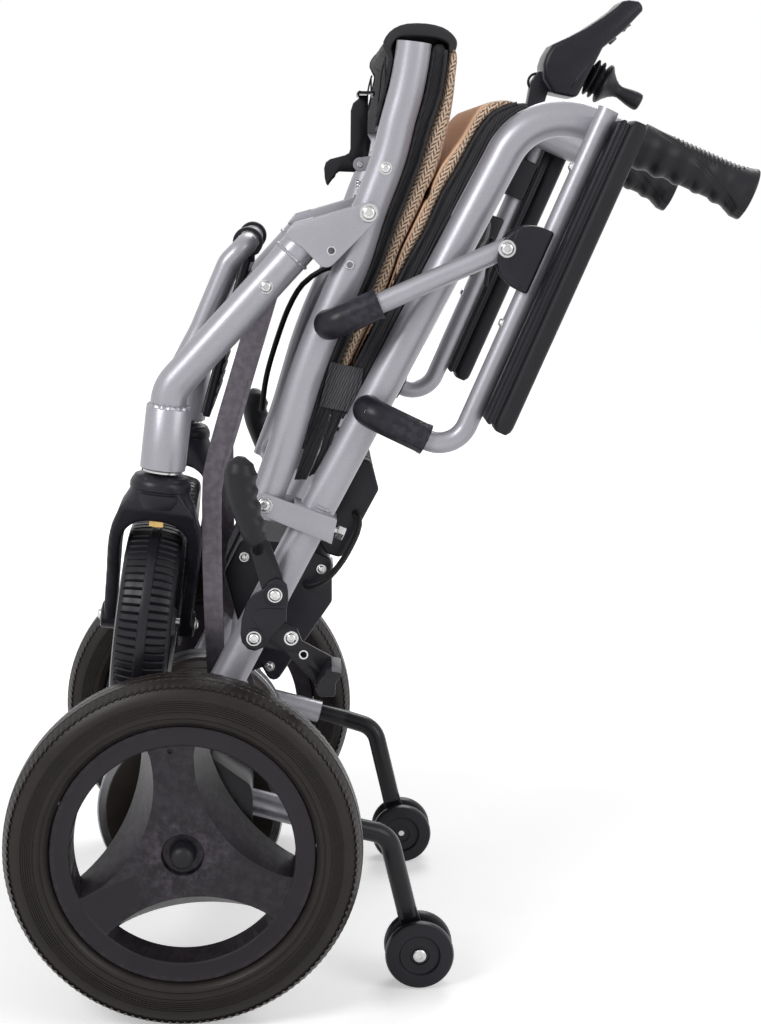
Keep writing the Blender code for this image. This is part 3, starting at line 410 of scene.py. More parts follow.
def ribbingGroup():  # cords of webbing and tape, with the cross threads between them
    tree, given, wanted = newGroup("ribbing", {"Rib": 0.0016, "Thread": 0.0009}, ["Height"])
    place = node(tree, "SeparateXYZ", {0: given["Vector"]})
    parts = []
    for output, pitch in (("X", given["Thread"]), ("Y", given["Rib"])):
        turns = calc(tree, "DIVIDE", place.outputs[output], pitch)
        wave = calc(tree, "COSINE", calc(tree, "MULTIPLY", turns, 2 * math.pi))
        parts.append(calc(tree, "MULTIPLY_ADD", wave, 0.5, 0.5))
    height = calc(tree, "MULTIPLY_ADD", parts[0], 0.35, parts[1])
    return givenOut(tree, wanted, {"Height": height})


groups = {"grain": fineGrainGroup(), "flake": paintFlakeGroup(), "wear": edgeWearGroup(),
          "holes": meshHolesGroup(), "ribs": ribbingGroup()}


def placed(tree, key, inputs):
    item = tree.nodes.new("ShaderNodeGroup")
    item.node_tree = groups[key]
    for label, value in inputs.items():
        feed(tree, item.inputs[label], value)
    return item.outputs


def mixed(tree, share, first, second):
    item = tree.nodes.new("ShaderNodeMix")
    item.data_type = "RGBA"
    for index, value in ((0, share), (6, first), (7, second)):
        feed(tree, item.inputs[index], (*value, 1) if isinstance(value, tuple) else value)
    return item.outputs[2]


def startMaterial(name, onUv=False):
    material = bpy.data.materials.new(name)
    material.use_nodes = True
    tree = material.node_tree
    spot = tree.nodes.new("ShaderNodeTexCoord").outputs["UV" if onUv else "Object"]
    return material, tree, tree.nodes["Principled BSDF"], spot


def setBump(tree, shader, height, distance):
    bump = node(tree, "Bump", {"Height": height, "Distance": distance, "Strength": 1.0})
    tree.links.new(bump.outputs[0], shader.inputs["Normal"])


def setRough(tree, shader, shade, low, high):
    rough = node(tree, "MapRange", {"Value": shade, "To Min": low, "To Max": high})
    tree.links.new(rough.outputs[0], shader.inputs["Roughness"])


def setPlain(shader, values):  # sockets with one value all over
    for label, value in values.items():
        shader.inputs[label].default_value = value


finishKeys = ("slot", "dark", "light", "rough", "grain", "depth", "wear")
mouldedRows = {
    "blackPlastic": ("black_plastic", (0.011, 0.01, 0.015), (0.015, 0.014, 0.02), (0.3, 0.38),
                     0.0007, 0.00005, 0.35),
    "rimPlastic": ("black_plastic", (0.013, 0.01, 0.012), (0.019, 0.016, 0.021), (0.34, 0.42),
                   0.0005, 0.00002, 0.2),
    "greyPlastic": ("grey_plastic", (0.12, 0.12, 0.13), (0.2, 0.2, 0.22), (0.35, 0.45),
                    0.0006, 0.00004, 0.3),
    "gripRubber": ("grip_rubber", (0.009, 0.009, 0.012), (0.014, 0.014, 0.018), (0.4, 0.48),
                   0.0008, 0.00008, 0.15),
    "padSkin": ("grip_rubber", (0.007, 0.007, 0.009), (0.015, 0.014, 0.018), (0.48, 0.62),
                0.0012, 0.00014, 0.1),
    "tyreRubber": ("tyre_rubber", (0.011, 0.008, 0.007), (0.021, 0.016, 0.015), (0.32, 0.44),
                   0.001, 0.00003, 0.5),
    "casterRubber": ("tyre_rubber", (0.009, 0.009, 0.012), (0.016, 0.016, 0.021), (0.3, 0.4),
                     0.001, 0.00003, 0.8),
    "cableRubber": ("cable_rubber", (0.008, 0.008, 0.009), (0.016, 0.016, 0.018), (0.42, 0.55),
                    0.0009, 0.00003, 0.1),
    "motorCase": ("motor_case", (0.01, 0.007, 0.006), (0.024, 0.018, 0.015), (0.42, 0.55),
                  0.0008, 0.00005, 0.5),
}
mouldedFinishes = {name: dict(zip(finishKeys, row)) for name, row in mouldedRows.items()}


def scuffMask(tree, spot):  # rubbed patch round the drive wheel's hub
    place = node(tree, "SeparateXYZ", {0: spot})
    flat = node(tree, "CombineXYZ", {"X": calc(tree, "ADD", place.outputs["X"], middleX),
                                     "Z": calc(tree, "SUBTRACT", place.outputs["Z"], axle[1])})
    reach = node(tree, "VectorMath", {0: flat.outputs[0]}, operation="LENGTH").outputs["Value"]
    near = mapped(tree, reach, 0.058, 0.026)
    patch = mapped(tree, noise(tree, spot, 120.0, 7.0, 0.72), 0.45, 0.68)
    return calc(tree, "MULTIPLY", calc(tree, "MULTIPLY", near, patch), 0.75)


def mouldedMaterial(name, finish):
    material, tree, shader, spot = startMaterial(name)
    grain = placed(tree, "grain", {"Vector": spot, "Size": finish["grain"]})
    wear = placed(tree, "wear", {"Vector": spot, "Amount": finish["wear"]})
    colour = mixed(tree, grain["Shade"], finish["dark"], finish["light"])
    pale = tuple(min(1, value * 4.5) for value in finish["light"])
    if name == "rimPlastic":
        colour = mixed(tree, scuffMask(tree, spot), colour, pale)
    tree.links.new(mixed(tree, wear["Mask"], colour, pale), shader.inputs["Base Color"])
    setRough(tree, shader, grain["Shade"], *finish["rough"])
    setPlain(shader, {"Specular IOR Level": 0.26})
    setBump(tree, shader, grain["Height"], finish["depth"])
    return material


paintFinishes = {
    "silverPaint": {"slot": "silver_paint", "dark": (0.345, 0.34, 0.375), "light": (0.42, 0.415, 0.455),
                    "metal": 0.35, "rough": (0.3, 0.42), "flake": 0.0006, "coat": 0.1},
    "barPaint": {"slot": "bar_paint", "dark": (0.098, 0.085, 0.104), "light": (0.122, 0.108, 0.13),
                 "metal": 0.4, "rough": (0.34, 0.38), "flake": 0.0007, "coat": 0.1},
    "blackPaint": {"slot": "black_paint", "dark": (0.01, 0.01, 0.013), "light": (0.016, 0.016, 0.02),
                   "metal": 0.0, "rough": (0.26, 0.34), "flake": 0.0007, "coat": 0.06,
                   "specular": 0.22},
}


def paintMaterial(name, finish):
    material, tree, shader, spot = startMaterial(name)
    flake = placed(tree, "flake", {"Vector": spot, "Size": finish["flake"]})
    wear = placed(tree, "wear", {"Vector": spot, "Amount": 0.5})
    grain = placed(tree, "grain", {"Vector": spot, "Size": 0.0006})
    colour = mixed(tree, flake["Flake"], finish["dark"], finish["light"])
    pale = tuple(min(1, value * 1.6) for value in finish["light"])
    tree.links.new(mixed(tree, wear["Mask"], colour, pale), shader.inputs["Base Color"])
    setRough(tree, shader, grain["Shade"], *finish["rough"])
    setPlain(shader, {"Metallic": finish["metal"], "Specular IOR Level": finish.get("specular", 0.5),
                      "Coat Weight": finish["coat"], "Coat Roughness": 0.15})
    setBump(tree, shader, flake["Peel"], 0.00006)
    return material


platedFinishes = {
    "zinc": {"slot": "zinc", "dark": (0.42, 0.42, 0.43), "light": (0.72, 0.72, 0.71), "rough": (0.18, 0.34)},
    "darkSteel": {"slot": "zinc", "dark": (0.16, 0.16, 0.17), "light": (0.34, 0.34, 0.35),
                  "rough": (0.28, 0.42)},
    "brass": {"slot": "zinc", "dark": (0.42, 0.27, 0.1), "light": (0.68, 0.48, 0.2), "rough": (0.2, 0.36)},
}


def platedMaterial(name, finish):
    material, tree, shader, spot = startMaterial(name)
    grain = placed(tree, "grain", {"Vector": spot, "Size": 0.0004})
    tree.links.new(mixed(tree, grain["Shade"], finish["dark"], finish["light"]), shader.inputs["Base Color"])
    setRough(tree, shader, grain["Shade"], *finish["rough"])
    setPlain(shader, {"Metallic": 1.0})
    setBump(tree, shader, grain["Height"], 0.00003)
    return material


# hole is painted shade seen down the mesh's holes, and shadow is painted shade on the low parts of the
# threads
meshFinish = {"thread": (0.9, 0.75, 0.6), "shadow": (0.74, 0.55, 0.4), "hole": (0.17, 0.088, 0.052),
              "along": 0.0048, "across": 0.0066}


def spacerMeshMaterial():
    material, tree, shader, spot = startMaterial("spacerMesh", True)
    holes = placed(tree, "holes", {"Vector": spot, "Along": meshFinish["along"],
                                   "Across": meshFinish["across"]})
    grain = placed(tree, "grain", {"Vector": spot, "Size": 0.0009})
    thread = mixed(tree, grain["Height"], meshFinish["shadow"], meshFinish["thread"])
    # the holes are filled with the dark hole colour: painted shade
    tree.links.new(mixed(tree, holes["Hole"], thread, meshFinish["hole"]), shader.inputs["Base Color"])
    setRough(tree, shader, grain["Shade"], 0.75, 0.92)
    setPlain(shader, {"Sheen Weight": 0.25, "Sheen Roughness": 0.4})
    setBump(tree, shader, holes["Height"], 0.0009)
    return material


# in these cloths dark is painted shade in the grooves between the ribs, and light is painted highlight on the
# rib tops
clothFinishes = {
    "binding": {"dark": (0.006, 0.006, 0.008), "light": (0.019, 0.018, 0.023), "rib": 0.0022,
                "thread": 0.0011, "depth": 0.0003, "slot": "webbing"},
    "webbing": {"dark": (0.006, 0.006, 0.008), "light": (0.15, 0.15, 0.165), "rib": 0.0022,
                "thread": 0.001, "depth": 0.0005, "slot": "webbing"},
    "smoothTan": {"dark": (0.74, 0.44, 0.27), "light": (0.88, 0.58, 0.39), "rib": 0.0016,
                  "thread": 0.0011, "depth": 0.0002, "slot": "pad_mesh"},
}


def ribbedMaterial(name, finish):
    material, tree, shader, spot = startMaterial(name, True)
    ribs = placed(tree, "ribs", {"Vector": spot, "Rib": finish["rib"], "Thread": finish["thread"]})
    height = ribs["Height"]
    grain = placed(tree, "grain", {"Vector": spot, "Size": 0.0007})
    # the colour follows the rib height: painted shade in the grooves between the cords, painted highlight on
    # the cord tops
    shade = calc(tree, "MULTIPLY", height, calc(tree, "MULTIPLY_ADD", grain["Shade"], 0.5, 0.35))
    tree.links.new(mixed(tree, shade, finish["dark"], finish["light"]), shader.inputs["Base Color"])
    setRough(tree, shader, grain["Shade"], 0.62, 0.85)
    setPlain(shader, {"Sheen Weight": 0.06})
    setBump(tree, shader, height, finish["depth"])
    return material


looks = {}
for finishes, build in ((mouldedFinishes, mouldedMaterial), (paintFinishes, paintMaterial),
                        (platedFinishes, platedMaterial), (clothFinishes, ribbedMaterial)):
    for name, finish in finishes.items():
        looks[name] = (build(name, finish), finish["slot"])
looks["spacerMesh"] = (spacerMeshMaterial(), "pad_mesh")
print("materials:", len(looks))


def addCamera():
    data = bpy.data.cameras.new("photoCamera")
    data.lens = 73.5
    data.sensor_width = 36
    camera = bpy.data.objects.new("photoCamera", data)
    bpy.context.scene.collection.objects.link(camera)
    camera.location = (-0.066, -2.0436, 0.7528)
    camera.rotation_euler = (math.radians(80.68), 0, math.radians(-2.115))
    bpy.context.scene.camera = camera


def rayMask(tree):
    path = node(tree, "LightPath")
    seen = calc(tree, "MAXIMUM", path.outputs["Is Camera Ray"], path.outputs["Is Glossy Ray"])
    return calc(tree, "MAXIMUM", seen, path.outputs["Is Transmission Ray"])


def addStage():
    world = bpy.data.worlds.new("studio")
    bpy.context.scene.world = world
    world.use_nodes = True
    tree = world.node_tree
    back = tree.nodes["Background"]
    back.inputs["Color"].default_value = (1, 1, 1, 1)
    strength = calc(tree, "MULTIPLY_ADD", rayMask(tree), 0.72, 0.28)
    tree.links.new(strength, back.inputs["Strength"])
    clearSelection()
    bpy.ops.mesh.primitive_plane_add(size=14, location=(0, 0, -0.0004))
    floor = bpy.context.object
    floor.name = "studioFloor"
    material, tree, shader, spot = startMaterial("paleFloor")
    reach = node(tree, "VectorMath", {0: spot}, operation="LENGTH").outputs["Value"]
    tone = mixed(tree, noise(tree, spot, 3.0), (0.8, 0.8, 0.8), (0.82, 0.82, 0.82))
    tree.links.new(tone, shader.inputs["Base Color"])
    setPlain(shader, {"Roughness": 0.9, "Emission Color": (1, 1, 1, 1)})
    glow = calc(tree, "MULTIPLY_ADD", mapped(tree, reach, 0.5, 2.2), 0.45, 0.42)
    tree.links.new(calc(tree, "MULTIPLY", rayMask(tree), glow), shader.inputs["Emission Strength"])
    floor.data.materials.append(material)


def addLamp(name, place, aim, power, size):
    data = bpy.data.lights.new(name, "AREA")
    data.energy = power
    data.shape = "DISK"
    data.size = size
    lamp = bpy.data.objects.new(name, data)
    bpy.context.scene.collection.objects.link(lamp)
    lamp.location = place
    lamp.rotation_euler = (Vector(aim) - Vector(place)).to_track_quat("-Z", "Y").to_euler()


addCamera()
addStage()
addLamp("keyLamp", (-1.7, -1.9, 2.1), (0, 0, 0.5), 42, 1.3)
addLamp("fillLamp", (1.9, -1.6, 1.5), (0, 0, 0.45), 20, 1.6)
addLamp("backLamp", (0.5, 1.9, 2.3), (0, 0, 0.5), 30, 1.4)
bpy.context.scene.view_settings.view_transform = "Standard"
print("camera, floor and lamps are in")


tyreShape = {"crown": 0.159, "bead": 0.1175, "beadHalf": 0.0195, "blocks": 144, "zig": 0.0012,
             "grooves": (-0.0135, -0.0045, 0.0045, 0.0135), "grooveWidth": 0.0011, "grooveDepth": 0.0016}


def crownAt(side):  # radius of the tread surface at a distance from the tyre's middle
    return tyreShape["crown"] - 0.0052 * (abs(side) / 0.0225) ** 3


def tyreProfile():
    rows = []
    for groove in tyreShape["grooves"]:
        wide = tyreShape["grooveWidth"]
        for side, deep in ((-wide, 0), (-wide * 0.5, 1), (wide * 0.5, 1), (wide, 0)):
            rows.append((crownAt(groove + side) - deep * tyreShape["grooveDepth"], groove + side))
        rows.append((crownAt(groove + 0.0045), groove + 0.0045))
    rows = rows[:-1]
    wall = mm(156.6, 17, 155.3, 20.3, 153.8, 23.1, 152.6, 24.9, 152.2, 23.4, 151.2, 23.8, 149, 25.1, 145.5,
              26.8, 142.4, 27.6)
    for rib in range(5):
        top = 0.1414 - rib * 0.0019
        wall += [(top, 0.0276), (top - 0.0003, 0.0284), (top - 0.0007, 0.0284), (top - 0.001, 0.0276)]
    wall += [*mm(131.5, 27.5, 131.1, 28.4, 130.4, 28.4, 130, 27.3, 125.5, 26.8, 125.1, 27.7, 124.4, 27.7,
                 124, 26.4, 121.5, 25.6, 119, 23.2, 117.8, 21.2),
             (tyreShape["bead"], tyreShape["beadHalf"])]
    back = [(r, -t) for r, t in reversed(wall)]
    return back + rows + wall


def makeTyre():
    tyre = turned([(r, wheelY + t) for r, t in tyreProfile()], at(*axle), steps=tyreShape["blocks"] * 3,
                  closed=True)
    centre = at(*axle)
    for vertex in tyre.data.vertices:
        side = -vertex.co.y - wheelY
        around = Vector((vertex.co.x - centre.x, vertex.co.z - centre.z))
        if around.length < 0.1518:
            continue
        turn = math.atan2(around.y, around.x) / (2 * math.pi) * tyreShape["blocks"]
        wave = abs((turn % 1) - 0.5) * 4 - 1
        nearest = min(tyreShape["grooves"], key=lambda groove: abs(groove - side))
        if abs(nearest - side) < 0.0013:
            vertex.co.y -= wave * tyreShape["zig"] * (1 if nearest >= 0 else -1)
        elif around.length < 0.153:  # sawtooth edge of the shoulder blocks
            drop = 1 - 0.0085 * wave
            vertex.co.x = centre.x + around.x * drop
            vertex.co.z = centre.z + around.y * drop
        elif abs(side) > 0.019 and wave > 0.6:
            vertex.co.y += 0.0011 * (1 if side > 0 else -1)
    bothSides(tyre, "tyre", "wheel_SIDE", "tyreRubber", ["tyre"], 24)


rimShape = {"outer": 0.1172, "front": 0.2795, "back": 0.2405, "star": 0.2781, "window": 0.099,
            "recess": 0.0182, "frontLens": (0.15105, 0.11305, 48.1, 41.0),
            "backLens": (0.22185, 0.16435, 43.2, 24.5), "middles": (35.1, 155.1, 275.1),
            "slot": (0.0945, 95.8)}


def lensOutline(inner, reach, outerHalf, innerHalf, turn, points=28):
    spots = arc((0, 0), rimShape["window"], -outerHalf, outerHalf, points)
    spots += [(inner - reach * math.cos(math.radians(a)), reach * math.sin(math.radians(a)))
              for a in (innerHalf - 2 * innerHalf * step / points for step in range(1, points))]
    c, n = math.cos(math.radians(turn)), math.sin(math.radians(turn))
    return [(axle[0] + x * c - z * n, axle[1] + x * n + z * c) for x, z in spots]


def taperedCutter(first, second, low, high):
    reach = 0.003 / (high - low)
    clearSelection()
    bpy.ops.mesh.primitive_cylinder_add(vertices=len(first), radius=1, depth=1, end_fill_type="NGON")
    item = bpy.context.object
    count = len(first)
    for index in range(count):
        item.data.vertices[index * 2].co = at(*between(first[index], second[index], -reach), low - 0.003)
        item.data.vertices[index * 2 + 1].co = at(*between(second[index], first[index], -reach), high + 0.003)
    editAll(item)
    return closeEdit(item, 0.000001)


def makeRim():
    s = rimShape
    profile = [*mm(0, 197, 8, 197, 8, 231, 22.5, 231, 23.5, 240.5), (0.0985, s["back"]),
               (s["outer"] - 0.001, s["back"]), (s["outer"], s["back"] + 0.001),
               (s["outer"], s["front"] - 0.001), (s["outer"] - 0.0012, s["front"]), (0.112, s["front"]),
               *mm(104.5, 278.8, 100.6, 279.4, 99.6, 279), (0.0988, s["star"]),
               (s["recess"] + 0.0008, s["star"]), (s["recess"], s["star"] - 0.0008),
               (s["recess"] - 0.0006, 0.272), (0.0122, 0.2715), (0, 0.2715)]
    rim = turned(profile, at(*axle), steps=120)
    for middle in s["middles"]:
        cut(rim, taperedCutter(lensOutline(*s["backLens"], middle), lensOutline(*s["frontLens"], middle),
                               s["back"], s["front"]))
    spot = arc(axle, s["slot"][0], s["slot"][1], s["slot"][1], 1)[0]
    cut(rim, pinAt(spot, 0.0024, 0.2755, 0.283, 16))
    bevelled(rim, 0.0006, 1, 32)
    cap = mm(0, 271.6, 11.8, 271.6, 11.8, 274.5, 10.8, 276, 10.6, 285)
    cap += [(0.0106 * math.cos(math.radians(a)), 0.285 + 0.0068 * math.sin(math.radians(a)))
            for a in range(15, 90, 15)]
    cap += mm(0, 291.8)
    bothSides(rim, "rim", "wheel_SIDE", "rimPlastic", ["rim"], 20)
    bothSides(turned(cap, at(*axle), steps=40), "hubCap", "wheel_SIDE", "gripRubber")


def makeMotor():
    drum = mm(0, 40, 74, 40, 77.5, 43.5, 78, 46, 83.5, 48, 83.5, 70, 82.2, 71.2, 82.2, 76, 83.5, 77.2, 83.5,
              106, 86, 108.5)
    bothSides(turned(drum + mm(86, 110, 0, 110), at(*axle), steps=72), "motorDrum", "rear", "motorCase",
              ["motor"])
    band = mm(70, 110.2, 86.8, 110.2, 87, 111, 87, 124, 85.8, 125, 85.8, 129, 87, 130, 87, 149, 85.5, 151,
              70, 151)
    bothSides(turned(band, at(*axle), steps=72, closed=True), "motorBand", "rear", "darkSteel")
    cover = mm(0, 130, 69.8, 130, 69.8, 151.5, 79, 153, 78, 154.8, 40, 155, 37, 153.5, 0, 153.5)
    bothSides(turned(cover, at(*axle), steps=72), "motorCover", "rear", "motorCase")
    spots = mm(-30, 135, -45, 165, -30, 215, 20, 235, 60, 205, 60, 170, 30, 135)
    block = plateFrom(roundedOutline(spots, 0.012), 0.1553, 0.225)
    cut(block, pinAt(axle, 0.009, 0.186, 0.24),
        tubeThrough([at(-0.043, 0.1443, frameY), at(0.03, 0.2818, frameY)], tubeRadius + gap),
        tubeThrough([at(-0.0022, 0.1981, frameY), at(0.124, 0.163, frameY)], 0.0123))
    bothSides(bevelled(block, 0.0015), "axleBlock", "rear", "blackPlastic")


smallWheel = {"centre": (0.213, 0.032), "middle": 0.18}


def makeAntitip():
    disc = mm(6.4, 188.5, 28, 188.5, 30.5, 189.5, 32, 192.5, 32, 196, 30.8, 198.8, 28.5, 199.8, 19.5, 200,
              18.6, 199, 17.8, 197.2, 15, 196.6, 11, 197.5, 9.2, 197.5, 8.8, 196, 6.4, 196)
    outer = turned(disc, at(*smallWheel["centre"]), steps=64, closed=True)
    inner = turned([(r, 2 * smallWheel["middle"] - a) for r, a in disc], at(*smallWheel["centre"]),
                   steps=64, closed=True)
    core = turned(mm(3.2, 164, 6.2, 164, 6.2, 196, 3.2, 196), at(*smallWheel["centre"]), steps=32,
                  closed=True)
    bothSides(joined(outer, inner, core), "antitipWheel", "antitip_SIDE", "blackPlastic", ["antitip_wheel"])
    screw = mm(0, 165, 3, 165, 3, 195.8, 6, 196.2, 6.4, 197.2, 6, 199, 4.2, 200.2, 2.6, 200.4, 2.4, 198.8,
               0, 198.6)
    bothSides(turned(screw, at(*smallWheel["centre"]), steps=32), "antitipScrew", "antitip_SIDE", "zinc")
    route = filleted([at(0.094, 0.1713, frameY), at(0.152, 0.1552, frameY), at(0.184, 0.146, 0.188),
                      at(0.2028, 0.0655, 0.18)], [0, 0.03, 0.024, 0])
    bar = tubeThrough(route, 0.0095)
    neck = (0.2012, 0.072)
    along = unit(neck, smallWheel["centre"])
    across = (-along[1], along[0])
    lean = math.degrees(math.atan2(across[1], across[0]))
    tongue = [(neck[0] + across[0] * 0.0092, neck[1] + across[1] * 0.0092)]
    tongue += arc(smallWheel["centre"], 0.0105, lean, lean - 180)
    tongue += [(neck[0] - across[0] * 0.0092, neck[1] - across[1] * 0.0092)]
    blade = plateFrom(tongue, 0.1746, 0.1854)
    cut(blade, pinAt(smallWheel["centre"], 0.0068, 0.16, 0.2))
    fused(bar, blade)
    bothSides(bevelled(bar, 0.0006, 2, 50), "antitipBar", "rear", "blackPaint", ["antitip_bar"])
    button = pinAt((0.113, 0.166), 0.003, frameY, frameY + 0.0128, 20, 0.0006)
    bothSides(button, "antitipButton", "rear", "zinc")


makeTyre()
makeRim()
makeMotor()
makeAntitip()
print("wheels and motors are in")


def lofted(rows):  # one closed skin through rings of points
    around = len(rows[0])
    clearSelection()
    bpy.ops.mesh.primitive_grid_add(x_subdivisions=around, y_subdivisions=len(rows) - 1, size=1,
                                    location=(0, 0, 0))
    item = bpy.context.object
    spots = [spot for row in rows for spot in list(row) + [row[0]]]
    for vertex, spot in zip(item.data.vertices, spots):
        vertex.co = spot
    editAll(item)
    bpy.ops.mesh.remove_doubles(threshold=0.00001)
    bpy.ops.mesh.select_all(action="SELECT")
    bpy.ops.mesh.fill_holes(sides=0)
    return closeEdit(item)


def spread(item, move):  # moves every point of a piece by a rule
    for vertex in item.data.vertices:
        vertex.co = move(vertex.co.copy())
    return item


def weldRing(centre, axis, radius, bead=0.0015, ripples=20):
    profile = [(radius + bead * math.cos(math.radians(45 * step)), bead * math.sin(math.radians(45 * step)))
               for step in range(8)]
    ring = turned(profile, centre, axis, 80, True)
    direction = Vector(axis).normalized()
    side = direction.orthogonal().normalized()
    other = direction.cross(side)
    middle = Vector(centre)

    def rippled(spot):
        offset = spot - middle
        flat = offset - direction * offset.dot(direction)
        base = flat.normalized() * radius
        turn = math.atan2(flat.dot(other), flat.dot(side))
        return middle + base + (offset - base) * (1 + 0.25 * math.sin(ripples * turn))
    return spread(ring, rippled)


screwShape = {"head": 0.0056, "washer": 0.0078, "rise": 0.0044, "socket": 0.0027, "deep": 0.0022}


def makeScrewMaster():
    s = screwShape
    profile = [(0, -0.001), (s["washer"], -0.001), (s["washer"], 0.0006), (s["washer"] - 0.0004, 0.001),
               (s["head"] + 0.0003, 0.001), (s["head"], 0.0018), (s["head"] * 0.94, 0.003),
               (s["head"] * 0.78, 0.004), (s["head"] * 0.55, s["rise"]), (0, s["rise"])]
    master = turned(profile, (0, 0, 0), (0, -1, 0), 32)
    socket = turned([(0, s["rise"] - s["deep"]), (s["socket"], s["rise"] - s["deep"]), (s["socket"], 0.008),
                     (0, 0.008)], (0, 0, 0), (0, -1, 0), 6)
    return cut(master, socket)


screwMaster = makeScrewMaster()


def screwAt(place, axis=(0, -1, 0), size=1.0):
    selectOnly(screwMaster)
    bpy.ops.object.duplicate(linked=False)
    item = bpy.context.object
    turn = Vector((0, -1, 0)).rotation_difference(Vector(axis).normalized()).to_matrix().to_4x4()
    item.data.transform(Matrix.Translation(Vector(place)) @ turn @ Matrix.Scale(size, 4))
    return item


def dressScrews(items, name, body, sided=True):
    screws = joined(items[0], *items[1:])
    if sided:
        return bothSides(screws, name, body, "zinc")
    return dress(screws, name, body, "zinc")


frameShape = {"foot": (-0.0123, 0.2017), "bend": (0.3104, 0.8128), "handle": (0.486, 0.7365),
              "bendRadius": 0.057, "seatPivot": (0.073, 0.459), "armPivot": (0.165, 0.543),
              "upperCross": (0.134, 0.4805), "lowerCross": (0.0436, 0.286), "crossEnd": 0.1766}


def makeBackFrame():
    f = frameShape
    tube = tubeThrough(filleted([at(*f["foot"], frameY), at(*f["bend"], frameY), at(*f["handle"], frameY)],
                                [0, f["bendRadius"], 0], 22), tubeRadius, 14)
    bothSides(tube, "backTube", "rear", "silverPaint", ["rear_frame"])
    pivot = f["seatPivot"]
    cheek = mm(136, 446, 131, 424) + arc(pivot, 0.01, 248, 68, 16)
    bracket = plateFrom(cheek, 0.209, 0.2125, 0.0008, 2)
    inner = plateFrom(cheek, 0.1735, 0.177, 0.0008, 2)
    fold = plateFrom(mm(133.5, 446.8, 137.5, 445, 132.5, 423, 128.5, 424.8), 0.1737, 0.2123, 0.0008, 2)
    web = plateFrom(mm(100, 460.8, 135, 446.2, 134, 443.6, 99, 458.2), 0.1745, 0.2115, 0.0006, 1)
    bothSides(joined(bracket, inner, fold, web), "seatBracket", "rear", "silverPaint")
    bead = smoothRoute(spots3(119, 457, 208.5, 122, 456.2, 209.8, 127, 453.5, 208.5, 131, 451.5, 203.5,
                              132.5, 450.8, 196), 0.0012)
    scales = [0.8 + 0.25 * math.sin(index * 1.9) for index in range(len(bead))]
    beads = [tubeThrough(bead, 0.0019, 3, scales)]
    crosses = [("Upper", f["upperCross"], 0.0125), ("Lower", f["lowerCross"], 0.011)]
    beads += [weldRing(at(*spot, f["crossEnd"] - 0.0012), (0, -1, 0), radius)
              for label, spot, radius in crosses]
    bothSides(joined(*beads), "frameWelds", "rear", "silverPaint")
    for label, spot, radius in crosses:
        bar = tubeThrough([at(*spot, f["crossEnd"]), at(*spot, -f["crossEnd"])], radius, 12)
        dress(bar, "crossTube" + label, "rear", "silverPaint", ["cross_tube_" + label.lower()])
    holder = tubeThrough([at(-0.002, 0.198, frameY), at(0.124, 0.163, frameY)], 0.012, 12)
    cut(holder, tubeThrough([at(0.09, 0.1724, frameY), at(0.13, 0.16133, frameY)], 0.01, 10))
    bothSides(holder, "antitipHolder", "rear", "silverPaint")
    nuts = [screwAt(at(*pivot, 0.2125)), pinAt(pivot, 0.004, 0.171, 0.212, 20),
            pinAt(pivot, 0.0065, 0.17, 0.1738, 6, 0.0006), pinAt(f["armPivot"], 0.004, 0.2, 0.232, 20)]
    bolt = tubeThrough([at(0.135, 0.433, frameY), at(0.144, 0.429, frameY)], 0.003, 6)
    nut = turned(mm(0, 0, 6.2, 0, 6.6, 0.6, 6.6, 6.2, 6, 6.8, 0, 6.8), at(0.1378, 0.4318, frameY),
                 at(0.144, 0.429, 0) - at(0.135, 0.433, 0), 6)
    dressScrews(nuts + [bolt, nut], "frameScrews", "rear")


gripShape = {"start": (0.402, 0.773), "length": 0.1085, "radius": 0.0198, "bore": 0.0166, "sides": 120,
             "rib": 0.0042, "ribs": (0.026, 0.098), "fingers": 0.0188}


def gripRadius(along, turn):  # turn is 0 on top of the grip and pi under it
    g = gripShape
    flare = max(0, (along - 0.082) / 0.024)
    top = g["radius"] + 0.0008 * math.exp(-(along / 0.01) ** 2) + 0.0042 * min(1, flare) ** 2
    wave = math.cos(2 * math.pi * (along - 0.006) / g["fingers"])
    hold = min(1, max(0, (0.094 - along) / 0.012)) * min(1, max(0, (along - 0.004) / 0.01))
    low = g["radius"] - 0.0012 + 0.0014 * wave * hold - 0.0022 * math.exp(-((along - 0.058) / 0.03) ** 2)
    low += 0.005 * min(1, max(0, (along - 0.08) / 0.02)) ** 2 + 0.001 * math.exp(-(along / 0.012) ** 2)
    share = (1 + math.cos(turn)) / 2
    radius = top * share + low * (1 - share)
    middle = (g["ribs"][0] + g["ribs"][1]) / 2
    reach = 1 - ((along - middle) / (g["ribs"][1] - middle)) ** 2
    limit = math.radians(52) * math.sqrt(max(0, reach))
    if turn < limit:
        radius += 0.0007 * (1 if (along / g["rib"]) % 1 < 0.5 else -0.6)
    for shift, deep in ((0, 0.0009), (9, 0.0007)):
        line = math.radians(22 + shift + 120 * max(0, min(1, (along - 0.004) / 0.098)) ** 1.5)
        fade = min(1, max(0, (along - 0.006) / 0.01))
        radius -= deep * math.exp(-((turn - line) / math.radians(3.4)) ** 2) * fade
    return radius


